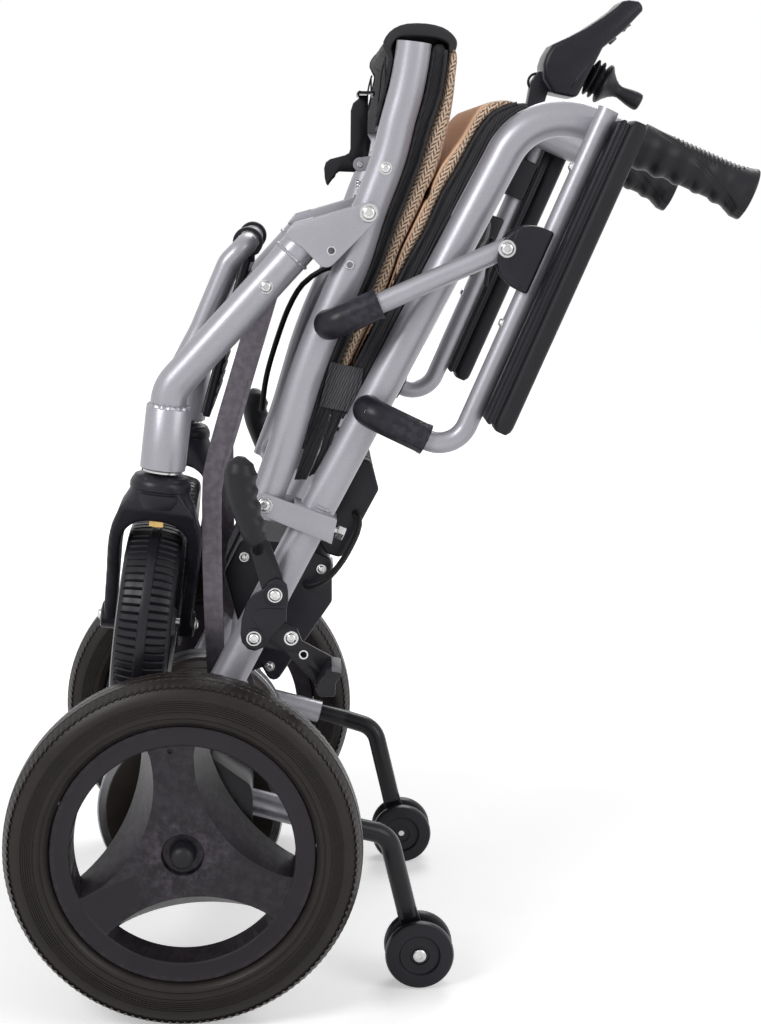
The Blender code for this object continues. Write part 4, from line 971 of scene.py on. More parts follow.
def makeGrip():
    g = gripShape
    direction = (Vector((*frameShape["handle"], 0)) - Vector((*frameShape["bend"], 0))).normalized()
    axis = Vector((direction.x, 0, direction.y))
    rows = [(0, 0.0925), (g["bore"], 0.0925), (g["bore"], 0.0002)]
    rows += [(g["radius"] - 0.001, 0.0)] + [(g["radius"], 0.0005 + 0.00105 * step) for step in range(102)]
    rows += [(g["radius"] - 0.0004, g["length"] - 0.0006), (g["radius"] - 0.002, g["length"]),
             (0.01, g["length"] + 0.0004), (0, g["length"] + 0.0004)]
    centre = at(*g["start"], frameY)
    grip = turned(rows, centre, axis, g["sides"])
    up = Vector((-axis.z, 0, axis.x))

    def gripped(spot):
        offset = spot - centre
        along = offset.dot(axis)
        flat = offset - axis * along
        if flat.length < g["bore"] + 0.0005:
            return spot
        turn = flat.angle(up)
        size = gripRadius(along, turn) * flat.length / g["radius"]
        return centre + axis * along + flat.normalized() * size
    bothSides(spread(grip, gripped), "pushGrip", "rear", "gripRubber", ["push_grip"], 40)


def boxBetween(outline, radius, low, high, bevel, segments=2):
    return plateFrom(roundedOutline(outline, radius), low, high, bevel, segments)


batteryShape = {"outline": mm(157, 488, 171, 485, 178, 458, 143, 393, 128, 398, 120, 412, 151, 476),
                "half": 0.12}


def grown(outline, size):
    middle = [sum(spot[axis] for spot in outline) / len(outline) for axis in (0, 1)]
    result = []
    for spot in outline:
        away = unit(middle, spot)
        result.append((spot[0] + away[0] * size, spot[1] + away[1] * size))
    return result


def makeBattery():
    half = batteryShape["half"]
    outline = batteryShape["outline"]
    pack = boxBetween(grown(outline, -0.0008), 0.006, -half + 0.012, half - 0.012, 0.0006, 1)
    parts = []
    for side in (-1, 1):
        ends = sorted((side * (half - 0.0125), side * half))
        parts.append(boxBetween(outline, 0.006, *ends, 0.0022, 3))
        for step in range(4):
            mid = side * (0.03 + 0.02 * step)
            parts.append(boxBetween(grown(outline, -0.0002), 0.006, mid - 0.0022, mid + 0.0022, 0.0008, 1))
    for place in (-0.08, 0.08):
        lug = plateFrom(mm(146.5, 456, 158.5, 480, 148, 490.5, 133, 497.5, 124, 460),
                        place - 0.009, place + 0.009, 0.001, 2)
        parts.append(cut(lug, pinAt((0.134, 0.4805), 0.0129, place - 0.012, place + 0.012)))
    loop = filleted(spots3(166.5, 478, -40, 166.5, 497.5, -40, 166.5, 497.5, 40, 166.5, 478, 40),
                    [0, 0.009, 0.009, 0], 8)
    parts.append(tubeThrough(loop, 0.0042, 6))
    dress(joined(pack, *parts), "batteryPack", "rear", "blackPlastic", ["battery_pack"])
    latchPlate = boxBetween(mm(148, 402, 156, 417, 152, 419, 144, 404), 0.001, -0.018, 0.018, 0.0008)
    dress(latchPlate, "batteryCatch", "rear", "greyPlastic")


controllerShape = {"outline": mm(49, 412, 33, 380, 45, 335, 62, 300, 78, 270, 134, 352, 134, 392, 100, 408),
                   "half": 0.12}


def makeController():
    outline = controllerShape["outline"]
    half = controllerShape["half"]
    parts = [boxBetween(outline, 0.007, -half, -half + 0.01, 0.0022, 3),
             boxBetween(outline, 0.007, half - 0.01, half, 0.0022, 3)]
    body = boxBetween(grown(outline, -0.0012), 0.007, -half + 0.0095, half - 0.0095, 0.0006, 1)
    for place in (-0.06, 0.06):
        lug = plateFrom(mm(70, 310, 50, 305, 42, 303, 44, 270, 75, 280),
                        place - 0.012, place + 0.012, 0.001, 2)
        parts.append(cut(lug, pinAt(frameShape["lowerCross"], 0.0114, place - 0.015, place + 0.015)))
    for step in range(9):  # cooling fins on the face behind the footrest
        mid = -0.048 + 0.012 * step
        fin = plateFrom(mm(50, 411.5, 34, 380, 45.5, 337, 43.5, 335, 31.2, 380, 47.5, 413.5),
                        mid - 0.0012, mid + 0.0012, 0.0005, 1)
        parts.append(fin)
    for row in range(5):
        slat = mm(90.5, 289.5, 93.5, 293.9, 95.2, 292.7, 92.2, 288.3)
        slat = [(x + row * 0.0075, z + row * 0.011) for x, z in slat]
        parts.append(boxBetween(slat, 0.0004, -0.09, 0.09, 0.0003, 1))
    dress(joined(body, *parts), "controllerBox", "rear", "blackPlastic", ["controller_box"])
    screws = [screwAt(at(x, z, side * half), (0, -side, 0), 0.6) for side in (-1, 1)
              for x, z in ((0.052, 0.395), (0.075, 0.29), (0.124, 0.383))]
    dressScrews(screws, "controllerScrews", "rear", False)


makeBackFrame()
makeGrip()
makeBattery()
makeController()
print("rear frame is in")


legShape = {"top": (0.113, 0.6934), "knee": (-0.0105, 0.56), "low": (-0.0128, 0.532), "pivot": (0.166, 0.715),
            "barTop": (0.078, 0.651), "footrest": (-0.014, 0.556), "rod": (0.1379, 0.6932)}
casterShape = {"swivel": (-0.0143, 0.515), "tilt": math.radians(7.3), "drop": 0.1744, "trail": 0.048,
               "radius": 0.095, "lugs": 78}


def forkPoint(across, drop, trail=0.0):
    c, n = math.cos(casterShape["tilt"]), math.sin(casterShape["tilt"])
    x = casterShape["swivel"][0] - drop * n + across * c
    z = casterShape["swivel"][1] - drop * c - across * n
    return at(x, z, frameY - trail)


def forkSide(trail, drop, across):
    return forkPoint(across, drop, trail)


def makeLeg():
    s = legShape
    route = filleted([at(*s["top"], frameY), at(*s["knee"], frameY), at(*s["low"], frameY)], [0, 0.034, 0],
                     14)
    bothSides(tubeThrough(route, tubeRadius, 14), "legTube", "front", "silverPaint", ["front_leg"])
    cheek = mm(92.5, 696, 100.7, 705.2, 151.4, 720) + arc(s["pivot"], 0.0095, 100, -42, 14)
    cheek += mm(136.5, 672.2) + arc((0.1285, 0.6765), 0.0085, -48, -140, 8) + mm(108.5, 685)
    outer = plateFrom(cheek, 0.209, 0.2125, 0.0009, 2)
    cut(outer, pinAt((0.1333, 0.6825), 0.003, 0.206, 0.215, 24))
    inner = plateFrom(cheek, 0.1735, 0.1772, 0.0009, 2)
    roof = plateFrom(mm(94.5, 698.5, 101, 706.2, 118, 711, 118.8, 708.4, 102.2, 703.6, 96.2, 697), 0.174,
                     0.212, 0.0006, 1)
    direction = at(*s["top"]) - at(*s["knee"])
    welds = [weldRing(at(0.0985, 0.6778, frameY), direction, tubeRadius)]
    housing = mm(0, -26.8, 18.5, -26.8, 20.3, -25.5, 20.5, 27.8, 19, 30, 15, 30.5, 0, 30.5)
    spine = forkPoint(0, -1) - forkPoint(0, 0)
    cup = turned(housing, forkPoint(0, 0), spine, 56)
    cut(cup, turned(mm(0, -40, 8.5, -40, 8.5, 10, 0, 10), forkPoint(0, 0), spine, 24))
    welds.append(weldRing(forkPoint(0, -0.0295), spine, 0.0172, 0.0026, 16))
    bothSides(joined(outer, inner, roof, cup, *welds), "legFittings", "front", "silverPaint")
    ring = mm(3, 0, 4, 0, 4, 0.3, 3, 0.3)
    screws = [screwAt(at(*s["pivot"], 0.2125), size=1.05), screwAt(at(0.0762, 0.6512, 0.208), size=0.85),
              turned(ring, at(0.1333, 0.6825, 0.2124), (0, -1, 0), 32, True),
              pinAt(s["pivot"], 0.004, 0.171, 0.212, 20),
              pinAt(s["pivot"], 0.0062, 0.1696, 0.1736, 6, 0.0006),
              pinAt(s["barTop"], 0.004, 0.169, 0.186, 20),
              pinAt(s["barTop"], 0.0068, 0.1688, 0.1712, 24, 0.0008)]
    dressScrews(screws, "legScrews", "front")
    boss = joined(pinAt(s["footrest"], 0.009, 0.1602, 0.188, 32, 0.0012),
                  pinAt(s["footrest"], 0.004, 0.1368, 0.165, 20),
                  pinAt(s["footrest"], 0.0075, 0.1365, 0.14, 6, 0.0007))
    bothSides(boss, "footrestBoss", "front", "blackPaint")
    rod = tubeThrough([at(*s["rod"], 0.1731), at(*s["rod"], -0.1731)], 0.003, 6)
    dress(rod, "legCrossRod", "front", "zinc", ["leg_cross_rod"])
    collars = [turned(mm(3.1, 0, 5.8, 0, 6.2, 0.6, 6.2, 5, 3.1, 5), at(*s["rod"], side * 0.16), (0, 1, 0),
                      24, True) for side in (-1, 1)]
    dress(joined(*collars), "rodCollars", "front", "darkSteel")


def forkHalfWidth(drop):
    spots = mm(30, 27, 36, 29.2, 45, 29.6, 65.5, 34.5, 79, 39.2, 91.5, 41.3, 105, 42, 200, 40.2)
    for (low, first), (high, second) in zip(spots, spots[1:]):
        if drop <= high:
            return first + (second - first) * max(0, (drop - low) / (high - low))
    return spots[-1][1]


def makeFork():
    side = mm(-20, 31, 19.5, 31, 24.5, 36, 30, 58, 42, 100, 57.5, 160)
    side += arc((casterShape["trail"], casterShape["drop"]), 0.0125, -25, 165, 14)
    side += mm(22, 130, -2, 88, -18.5, 62, -24.5, 37)
    body = plateFrom(side, -0.06, 0.06, 0, 2, forkSide)
    drops = [0.03 + 0.0045 * step for step in range(18)] + [0.12, 0.16, 0.2]
    arch = [(forkHalfWidth(drop), drop) for drop in drops]
    inner = mm(29, 200, 30.5, 100, 29.8, 92, 27, 84.5, 22.5, 79, 16, 75.2, 8, 73.2, 0, 72.7)
    half = arch + inner
    outline = half + [(-x, drop) for x, drop in reversed(half[:-1])]
    profile = plateFrom(outline, -0.05, 0.09, 0, 2, forkPoint)
    keptInside(body, profile)
    spine = forkPoint(0, -1) - forkPoint(0, 0)
    bell = turned(mm(0, -240, 90, -240, 90, -98, 56, -86, 45, -74, 36.5, -62, 30, -52, 26.2, -44, 25.5, -36,
                     24, -30, 0, -30), forkPoint(0, 0), spine, 64)
    keptInside(body, bell)  # round in plan at the crown
    applyModifier(body, "REMESH", mode="VOXEL", voxel_size=0.0016)
    applyModifier(body, "SMOOTH", factor=0.5, iterations=16)
    dome = turned(mm(0, -60, 22.5, -60, 27, -52, 27.4, -47, 26, -45.8, 26, -44.8, 27.4, -43.6, 27.3, -39,
                     25.6, -35, 22, -32.5, 16.8, -31, 0, -30.6), forkPoint(0, 0), spine, 56)
    fused(body, dome)
    hub = casterShape["drop"], casterShape["trail"]
    across = forkPoint(1, 0) - forkPoint(0, 0)
    for mark in (-1, 1):
        boss = turned(mm(0, 30, 12.5, 30, 12.5, 42, 10.8, 43.2, 0, 43.2), forkPoint(0, *hub), across * mark,
                      32)
        fused(body, boss)
    bothSides(body, "casterFork", "swivel_SIDE", "blackPlastic", ["caster_fork"], 40)
    pin = turned(mm(0, -45, 6.2, -45, 6.2, 6, 0, 6), forkPoint(0, 0), spine, 24)
    washer = turned(mm(0, -29.5, 16.5, -29.5, 17.2, -28.8, 17.2, -27.2, 15, -27, 0, -27), forkPoint(0, 0),
                    spine, 40)
    axlePin = turned(mm(0, -45.5, 4, -45.5, 4, 45.5, 0, 45.5), forkPoint(0, *hub), across, 20)
    heads = [screwAt(forkPoint(mark * 0.0432, *hub), across * mark, 0.8) for mark in (-1, 1)]
    bothSides(joined(pin, washer, axlePin, *heads), "forkPins", "swivel_SIDE", "zinc")
    nut = turned(mm(0, -79, 6.2, -79, 7.2, -78.2, 7.2, -73.5, 8.5, -73, 8.5, -71.5, 0, -71.5),
                 forkPoint(0, 0), spine, 6)
    bothSides(nut, "forkNut", "swivel_SIDE", "brass")


def makeCaster():
    half = mm(66, 16.5, 70, 21.5, 77, 24.6, 83, 25, 87, 23.8, 89.5, 21.5, 90.8, 18.6, 92.4, 12, 93.2, 5.2,
              93.6, 4.2, 94.7, 3.7, 95, 2.5)
    profile = [(r, -a) for r, a in half] + [(r, a) for r, a in half[::-1]]
    hub = forkPoint(0, casterShape["drop"], casterShape["trail"])
    across = forkPoint(1, 0) - forkPoint(0, 0)
    steps = casterShape["lugs"] * 5
    tyre = turned(profile, hub, across, steps, True)
    side = across.orthogonal().normalized()
    other = across.cross(side)

    def lugged(spot):
        offset = spot - hub
        out = offset.dot(across)
        flat = offset - across * out
        if not 0.09 < flat.length < 0.0935 or abs(out) < 0.005:
            return spot
        turn = math.atan2(flat.dot(other), flat.dot(side)) / (2 * math.pi) * casterShape["lugs"]
        if (turn + (0.4 if out > 0 else 0) + 0.1) % 1 < 0.2:
            return spot - flat.normalized() * 0.002
        return spot
    bothSides(spread(tyre, lugged), "casterTyre", "caster_SIDE", "casterRubber", ["caster_wheel"], 24)
    rim = mm(4.9, 25.5, 11.5, 25.5, 12.5, 24.5, 15, 20, 18.5, 16.5, 21, 13, 56, 10.5, 60, 15, 64, 19.5,
             66.8, 20, 67.5, 17.5)
    disc = turned([(r, -a) for r, a in rim] + [(r, a) for r, a in rim[::-1]], hub, across, 72, True)
    turn = Matrix.Translation(hub) @ Vector(across).to_track_quat("Z", "Y").to_matrix().to_4x4()
    for step in range(5):
        angle = 2 * math.pi * step / 5
        middle = turn @ Vector((0.0385 * math.cos(angle), 0.0385 * math.sin(angle), 0))
        cut(disc, turned(mm(0, -30, 13, -30, 13, 30, 0, 30), middle, across, 28))
    bothSides(bevelled(disc, 0.0008, 1, 40), "casterHub", "caster_SIDE", "greyPlastic")


linkShape = {"foot": (0.0436, 0.286), "low": 0.1637, "high": 0.1683}


def makeLinkBar():
    top = legShape["barTop"]
    bar = [*mm(20.5, 284, 18.2, 298.1, 17.2, 326.3, 16, 363.8, 15.5, 401, 15.7, 456.3, 16.8, 480, 20.5, 496,
               24.5, 511.1, 32.5, 539, 40.6, 565.4), (top[0] - 0.0104, top[1] + 0.003)]
    bar += arc(top, 0.0106, 162, -18, 14)
    bar += mm(63, 565.3, 50.9, 524.6, 43, 500, 36.5, 480, 33.5, 462, 33.2, 400.8, 33.8, 344.9, 34.5, 306,
              43, 299, 43, 271.5, 32, 271.5)
    plate = plateFrom(bar, linkShape["low"] + 0.001, linkShape["high"])
    flange = mm(63, 565.3, 50.9, 524.6, 43, 500, 36.5, 480, 33.5, 462, 33.2, 400.8, 33.8, 344.9, 34.5, 306,
                31, 306, 30.2, 344.9, 29.8, 400.8, 30.1, 463, 33, 481, 39.5, 501, 47.3, 525.6, 59.5, 566.3)
    fold = plateFrom(flange, linkShape["low"] + 0.0006, linkShape["high"] + 0.0022)
    collar = pinAt(linkShape["foot"], 0.0175, 0.1635, 0.1685, 40)
    fused(plate, fold, collar)
    cut(plate, pinAt(linkShape["foot"], 0.0116, 0.16, 0.172, 40), pinAt(top, 0.0047, 0.16, 0.172, 24))
    bothSides(bevelled(plate, 0.0006, 2, 40), "linkBar", "link", "barPaint", ["link_bar"])


footShape = {"pivot": (0.058, 0.6864), "half": 0.15, "radius": 0.0095, "plateTop": (0.0616, 0.6725),
             "plateEnd": (0.0216, 0.5268)}


def makeFootrest():
    s = footShape
    side = mm(-18.6, 547.6, 15.2, 609.2, 41.5, 670) + [s["pivot"]]
    loop = [at(*spot, s["half"]) for spot in side] + [at(*spot, -s["half"]) for spot in reversed(side)]
    tube = tubeThrough(filleted(loop, [0, 0.08, 0.022, 0.014, 0.014, 0.022, 0.08, 0], 8), s["radius"], 10)
    for place in (-s["half"], s["half"]):
        cut(tube, pinAt(legShape["footrest"], 0.0047, place - 0.02, place + 0.02, 24))
    dress(tube, "footrestTube", "footrest", "silverPaint", ["footrest_tube"])
    top, end = s["plateTop"], s["plateEnd"]
    along = unit(top, end)
    inner = (along[1], -along[0])

    def moved(spot, down, deep):
        return tuple(spot[axis] + along[axis] * down + inner[axis] * deep for axis in (0, 1))
    board = [top, end, moved(end, 0, 0.0075), moved(top, 0, 0.0075)]
    plate = plateFrom(board, -0.125, 0.125, 0.0022, 3)
    parts = []
    for step in range(13):  # raised treads on the standing face
        spot = between(top, end, 0.08 + 0.07 * step)
        tread = [spot, moved(spot, 0.0042, 0), moved(spot, 0.0036, -0.001), moved(spot, 0.0006, -0.001)]
        parts.append(plateFrom(tread, -0.115, 0.115, 0.0003, 1))
    back = [moved(top, 0, 0.0074), moved(end, 0, 0.0074), moved(end, 0, 0.009), moved(top, 0, 0.009)]
    for step in range(9):
        middle = -0.104 + 0.026 * step
        parts.append(plateFrom(back, middle - 0.0016, middle + 0.0016, 0.0004, 1))
    for place in (-0.095, 0.095):
        clip = turned(mm(10.3, -12, 13.2, -12, 13.8, -11.2, 13.8, 11.2, 13.2, 12, 10.3, 12),
                      at(*s["pivot"], place), (0, -1, 0), 40, True)
        foot = plateFrom(mm(47.5, 683, 52, 674.5, 64, 677, 64, 668, 50, 668),
                         place - 0.011, place + 0.011, 0.0012)
        cut(foot, pinAt(s["pivot"], 0.0103, place - 0.014, place + 0.014))
        parts += [clip, foot]
    dress(joined(plate, *parts), "footplateDeck", "footplate", "blackPlastic", ["footplate"])
    edge = [moved(end, -0.0004, 0), moved(end, 0.001, 0), moved(end, 0.001, 0.008),
            moved(end, -0.0004, 0.008)]
    dress(plateFrom(edge, -0.118, 0.118, 0.0005, 1), "footplateEdge", "footplate", "silverPaint")


makeLeg()
makeFork()
makeCaster()
makeLinkBar()
makeFootrest()
print("front frame and casters are in")


armShape = {"pivot": (0.165, 0.543), "elbowTurn": -26, "corner": (0.2405, 0.5062), "top": (0.3715, 0.803),
            "origin": (0.288, 0.614), "angle": math.radians(66.2), "strutTop": (0.284, 0.685),
            "strutFoot": (0.131, 0.6185), "elbow": 0.0135, "bend": 0.0139, "strut": 0.0092}


def onArm(along, across):
    c, n = math.cos(armShape["angle"]), math.sin(armShape["angle"])
    return (armShape["origin"][0] + along * c + across * n, armShape["origin"][1] + along * n - across * c)


def armPlace(along, across, out):
    return at(*onArm(along, across), out)


def elbowReach(distance):
    turn = math.radians(armShape["elbowTurn"])
    x, z = armShape["pivot"]
    return (x + math.cos(turn) * distance, z + math.sin(turn) * distance)


def elbowAlong(route, mouth, bore, boreRadius):
    s = armShape
    elbow = tubeThrough(filleted(route, [0, s["bend"], 0], 14), s["elbow"], 12)
    fused(elbow, tubeThrough(mouth, s["elbow"] + 0.0004, 12))
    return cut(elbow, tubeThrough(bore, boreRadius + gap, 12))


def makeArm():
    s = armShape

    def reached(*distances):
        return [at(*elbowReach(distance), armY) for distance in distances]
    route = reached(0.056, 0) + [at(*s["pivot"], 0.2098)]
    elbow = elbowAlong(route, reached(0.0565, 0.053), reached(0.0176, 0.062), armTubeRadius)
    cut(elbow, pinAt(s["pivot"], 0.0047, 0.195, 0.233, 24))
    bothSides(bevelled(elbow, 0.0007, 2, 50), "armElbow", "arm_SIDE", "blackPlastic", ["arm_elbow"], 40)
    route = filleted([at(*elbowReach(0.018), armY), at(*s["corner"], armY), at(*s["top"], armY)],
                     [0, 0.0265, 0], 16)
    bothSides(tubeThrough(route, armTubeRadius, 12), "armTube", "arm_SIDE", "silverPaint", ["arm_tube"])
    low, high = -0.08, 0.202
    layers = []
    for first, second, inset in ((0.0097, 0.012, 0.0012), (0.0116, 0.015, 0.0), (0.0146, 0.0184, 0.0012)):
        outline = roundedOutline(oblong(low + inset, first, high - inset, second), 0.0008, 2)
        layers.append(plateFrom(outline, 0.2155 + inset, 0.2575 - inset, 0.0006, 2, armPlace))
    bothSides(joined(*layers), "armPadBase", "arm_SIDE", "blackPlastic", ["arm_pad"])
    rows = []
    start, end, half = -0.083, 0.205, 0.0245
    for step in range(61):
        share = step / 60
        along = start + (end - start) * (share - 0.018 * math.sin(4 * math.pi * share))
        near = min(along - start, end - along)
        pull = math.sqrt(max(0.0, 1 - (1 - min(1, near / 0.01)) ** 2)) * 0.42 + 0.58
        ring = []
        for turn in range(48):
            angle = 2 * math.pi * turn / 48
            c, n = math.cos(angle), math.sin(angle)
            y = half * math.copysign(abs(c) ** 0.42, c) * (0.86 + 0.14 * pull)
            rise = 0.0087 * math.copysign(abs(n) ** 0.55, n) * pull
            ring.append(armPlace(along, 0.026 + rise + (0.0006 if n > 0 else 0), 0.2365 + y))
        rows.append(ring)
    pads = bothSides(lofted(rows), "armPadSkin", "arm_SIDE", "padSkin", (), 45)
    bolts = []
    for along in (0.0035, 0.15):
        place = armPlace(along, -0.0088, armY)
        bolts.append(screwAt(place, armPlace(along, -1, armY) - armPlace(along, 0, armY), 0.62))
    dressScrews(bolts, "padBolts", "arm_SIDE")


def makeClamp():
    s = armShape
    outline = mm(34.5, -0.3, 92.3, -0.3) + arc((0.0634, -0.0096), 0.0289, 0, -180, 28)
    clamp = plateFrom(outline, 0.2115, 0.2405, 0.0026, 3, armPlace)
    cut(clamp, plateFrom(oblong(0.02, -0.0105, 0.11, -0.05), 0.2163, 0.2357, 0, 1, armPlace),
        tubeThrough([armPlace(0.02, 0, armY), armPlace(0.11, 0, armY)], armTubeRadius + gap, 12))
    line = mm(30, -3.5, 40, -10, 48, -21.5, 64, -29, 86, -31)
    seam = smoothRoute([armPlace(*spot, 0.2406) for spot in line], 0.002)
    cut(clamp, tubeThrough(seam, 0.0006, 1))
    bothSides(clamp, "armClamp", "arm_SIDE", "blackPlastic", ["arm_clamp"], 40)
    screws = [screwAt(at(*s["strutTop"], 0.2405), size=1.0), pinAt(s["strutTop"], 0.004, 0.213, 0.24, 20)]
    dressScrews(screws, "clampScrews", "arm_SIDE")
    length = math.dist(s["strutTop"], s["strutFoot"])
    way = unit(s["strutTop"], s["strutFoot"])

    def onStrut(distance, out=armY):
        return at(s["strutTop"][0] + way[0] * distance, s["strutTop"][1] + way[1] * distance, out)
    stations = [-0.0085, -0.0075, -0.005, 0.004, 0.01, 0.02, length - 0.02]
    scales = [0.7, 0.85, 0.97, 1, 1, 1, 1]
    tube = tubeThrough([onStrut(d) for d in stations], s["strut"], 12, scales)
    cut(tube, pinAt(s["strutTop"], 0.0047, 0.21, 0.245, 24))
    bothSides(tube, "strutTube", "strut_SIDE", "silverPaint", ["strut"])
    route = [onStrut(length - 0.047), onStrut(length), onStrut(length, 0.2095)]
    elbow = elbowAlong(route, [onStrut(length - 0.0475), onStrut(length - 0.044)],
                       [onStrut(length - 0.06), onStrut(length - 0.019)], s["strut"])
    bothSides(bevelled(elbow, 0.0007, 2, 50), "strutElbow", "strut_SIDE", "blackPlastic", (), 40)


joystickShape = {"pivot": (0.4085, 0.8542), "turn": math.radians(-27.3), "key": (0.4385, 0.8888),
                 "rocker": (0.453, 0.902)}


def makeJoystick():
    s = joystickShape
    pod = mm(371.9, 881.8, 389.9, 890.2, 408, 899.6, 425.9, 911.1, 437.5, 919.4, 444.9, 926.7, 452, 928.2,
             462, 926.7, 468, 921.5, 466.5, 916.4, 447.6, 896.6, 425.4, 878.5, 398.4, 826.4, 371.4, 831.7,
             362.7, 846.3, 362.5, 862, 365.6, 871.4)
    body = plateFrom(pod, -0.259, -0.193, 0.0075, 4)
    ridge = smoothRoute(spots3(386, 827, -194.5, 399, 848, -192.6, 412, 864, -192.6, 433, 883, -192.6,
                               456, 906, -194), 0.002)
    across = [Vector((0, 0.067 if abs(spot.y - 0.1926) < 0.0005 else 0.064, 0)) for spot in ridge]
    cut(body, tubeThrough(ridge, 0.0006, 1))
    cut(body, tubeThrough([spot + step for spot, step in zip(ridge, across)], 0.0006, 1))
    way = Vector((math.cos(s["turn"]), 0, math.sin(s["turn"])))
    centre = at(*s["pivot"], -armY)
    cut(body, tubeThrough([centre - way * 0.01, centre + way * 0.03], 0.0245, 14))
    panel = unit((0.429, 0.8814), (0.4665, 0.9164))
    along = Vector((panel[0], 0, panel[1]))
    out = Vector((panel[1], 0, -panel[0]))
    key = at(*s["key"], -armY)
    rocker = at(*s["rocker"], -armY)
    cut(body, tubeThrough([key - out * 0.0065, key + out * 0.02], 0.0055, 8))

    def atPanel(far, deep, side):
        return rocker + along * far + out * deep + Vector((0, side, 0))
    cut(body, plateFrom(oblong(-0.0057, -0.007, 0.0057, 0.02), -0.0085, 0.0085, 0, 1, atPanel))
    rockerPin = [atPanel(0, -0.0028, -0.0095), atPanel(0, -0.0028, 0.0095)]
    fused(body, tubeThrough(rockerPin, 0.001, 4))
    dress(body, "joystickPod", "arm_right", "blackPlastic", ["joystick_pod"], 40)
    mount = plateFrom(roundedOutline([onArm(*spot) for spot in oblong(0.118, 0.0085, 0.16, -0.023)], 0.003),
                      -0.2405, -0.2115, 0.0012)
    shape = [onArm(0.15, -0.008), onArm(0.165, -0.006),
             *mm(370, 833, 370, 852, 360, 856, 352, 844, 347, 815), onArm(0.15, -0.023)]
    slab = plateFrom(roundedOutline(shape, 0.003), -0.237, -0.215, 0.0012)
    cut(mount, tubeThrough([armPlace(0.105, 0, -armY), armPlace(0.175, 0, -armY)], armTubeRadius + gap, 12),
        plateFrom([onArm(*spot) for spot in oblong(0.11, -0.0108, 0.17, -0.0122)], -0.245, -0.2345))
    cut(slab, tubeThrough([armPlace(0.105, 0, -armY), armPlace(0.235, 0, -armY)], armTubeRadius + gap, 12))
    dress(joined(mount, slab), "podMount", "arm_right", "blackPlastic", (), 40)
    knob = turned(mm(0, 0, 4.2, 0, 4.6, 0.8, 4.6, 10, 4, 11, 0, 11), armPlace(0.139, -0.0225, -armY),
                  armPlace(0, -1, 0) - armPlace(0, 0, 0), 24)
    mountScrews = [screwAt(armPlace(along, -0.018, -0.211), size=0.6) for along in (0.131, 0.147)]
    dress(joined(knob, *mountScrews), "mountKnob", "arm_right", "darkSteel")
    route = [at(x, z, -0.2215) for x, z in arc((0.3585, 0.844), 0.009, 262, 45, 24)]
    wire = dress(curveThrough(route, 0.0014, 4), "podWire", "arm_right", "cableRubber")
    ring = turned(mm(11.5, -2.2, 15, -2.2, 15.5, -1.7, 15.5, 1.7, 15, 2.2, 11.5, 2.2), centre, way, 48,
                  True)
    dress(ring, "joystickGimbal", "gimbal", "greyPlastic", ["joystick_gimbal"])
    stick = mm(0, -6.5, 5.5, -6.5, 6, 5, 16, 8, 19.6, 9.2, 20.4, 10.4, 19.6, 11.6, 16.5, 12.8, 15.5, 14.2,
               19.5, 15.4, 20.8, 16.7, 19.5, 18, 15, 19.2, 14.6, 20.8, 19, 22.2, 21.4, 23.6, 22.2, 25.2,
               20.5, 27.2, 15.5, 30.6, 10.5, 35.6, 7.4, 40.5, 6.5, 44.5, 7.4, 49.5, 8.8, 56, 9.5, 62, 9.6,
               65.5, 8.9, 68.2, 7, 69.4, 0, 70)
    dress(turned(stick, centre, way, 64), "joystickStick", "stick", "gripRubber", ["joystick_stick"], 30)
    button = turned(mm(0, -3, 5.1, -3, 5.1, 2.4, 4.6, 3.2, 3, 2.9, 0, 2.6), key, out, 40)
    dress(button, "powerKey", "key", "greyPlastic", ["power_key"])
    rock = mm(-4.6, -1, -3, -4, 3, -4, 4.6, -1, 4.6, 3, 2.4, 2.2, 0, 1.9, -2.4, 2.2, -4.6, 3)
    lever = plateFrom(rock, -0.008, 0.008, 0.0005, 2, atPanel)
    cut(lever, tubeThrough(rockerPin, 0.0013, 4))
    dress(lever, "speedRocker", "rocker", "greyPlastic", ["speed_rocker"])


makeArm()
makeClamp()
makeJoystick()
print("arms and joystick are in")


brakeShape = {"lever": (0.082, 0.381), "shoe": (0.063, 0.342)}


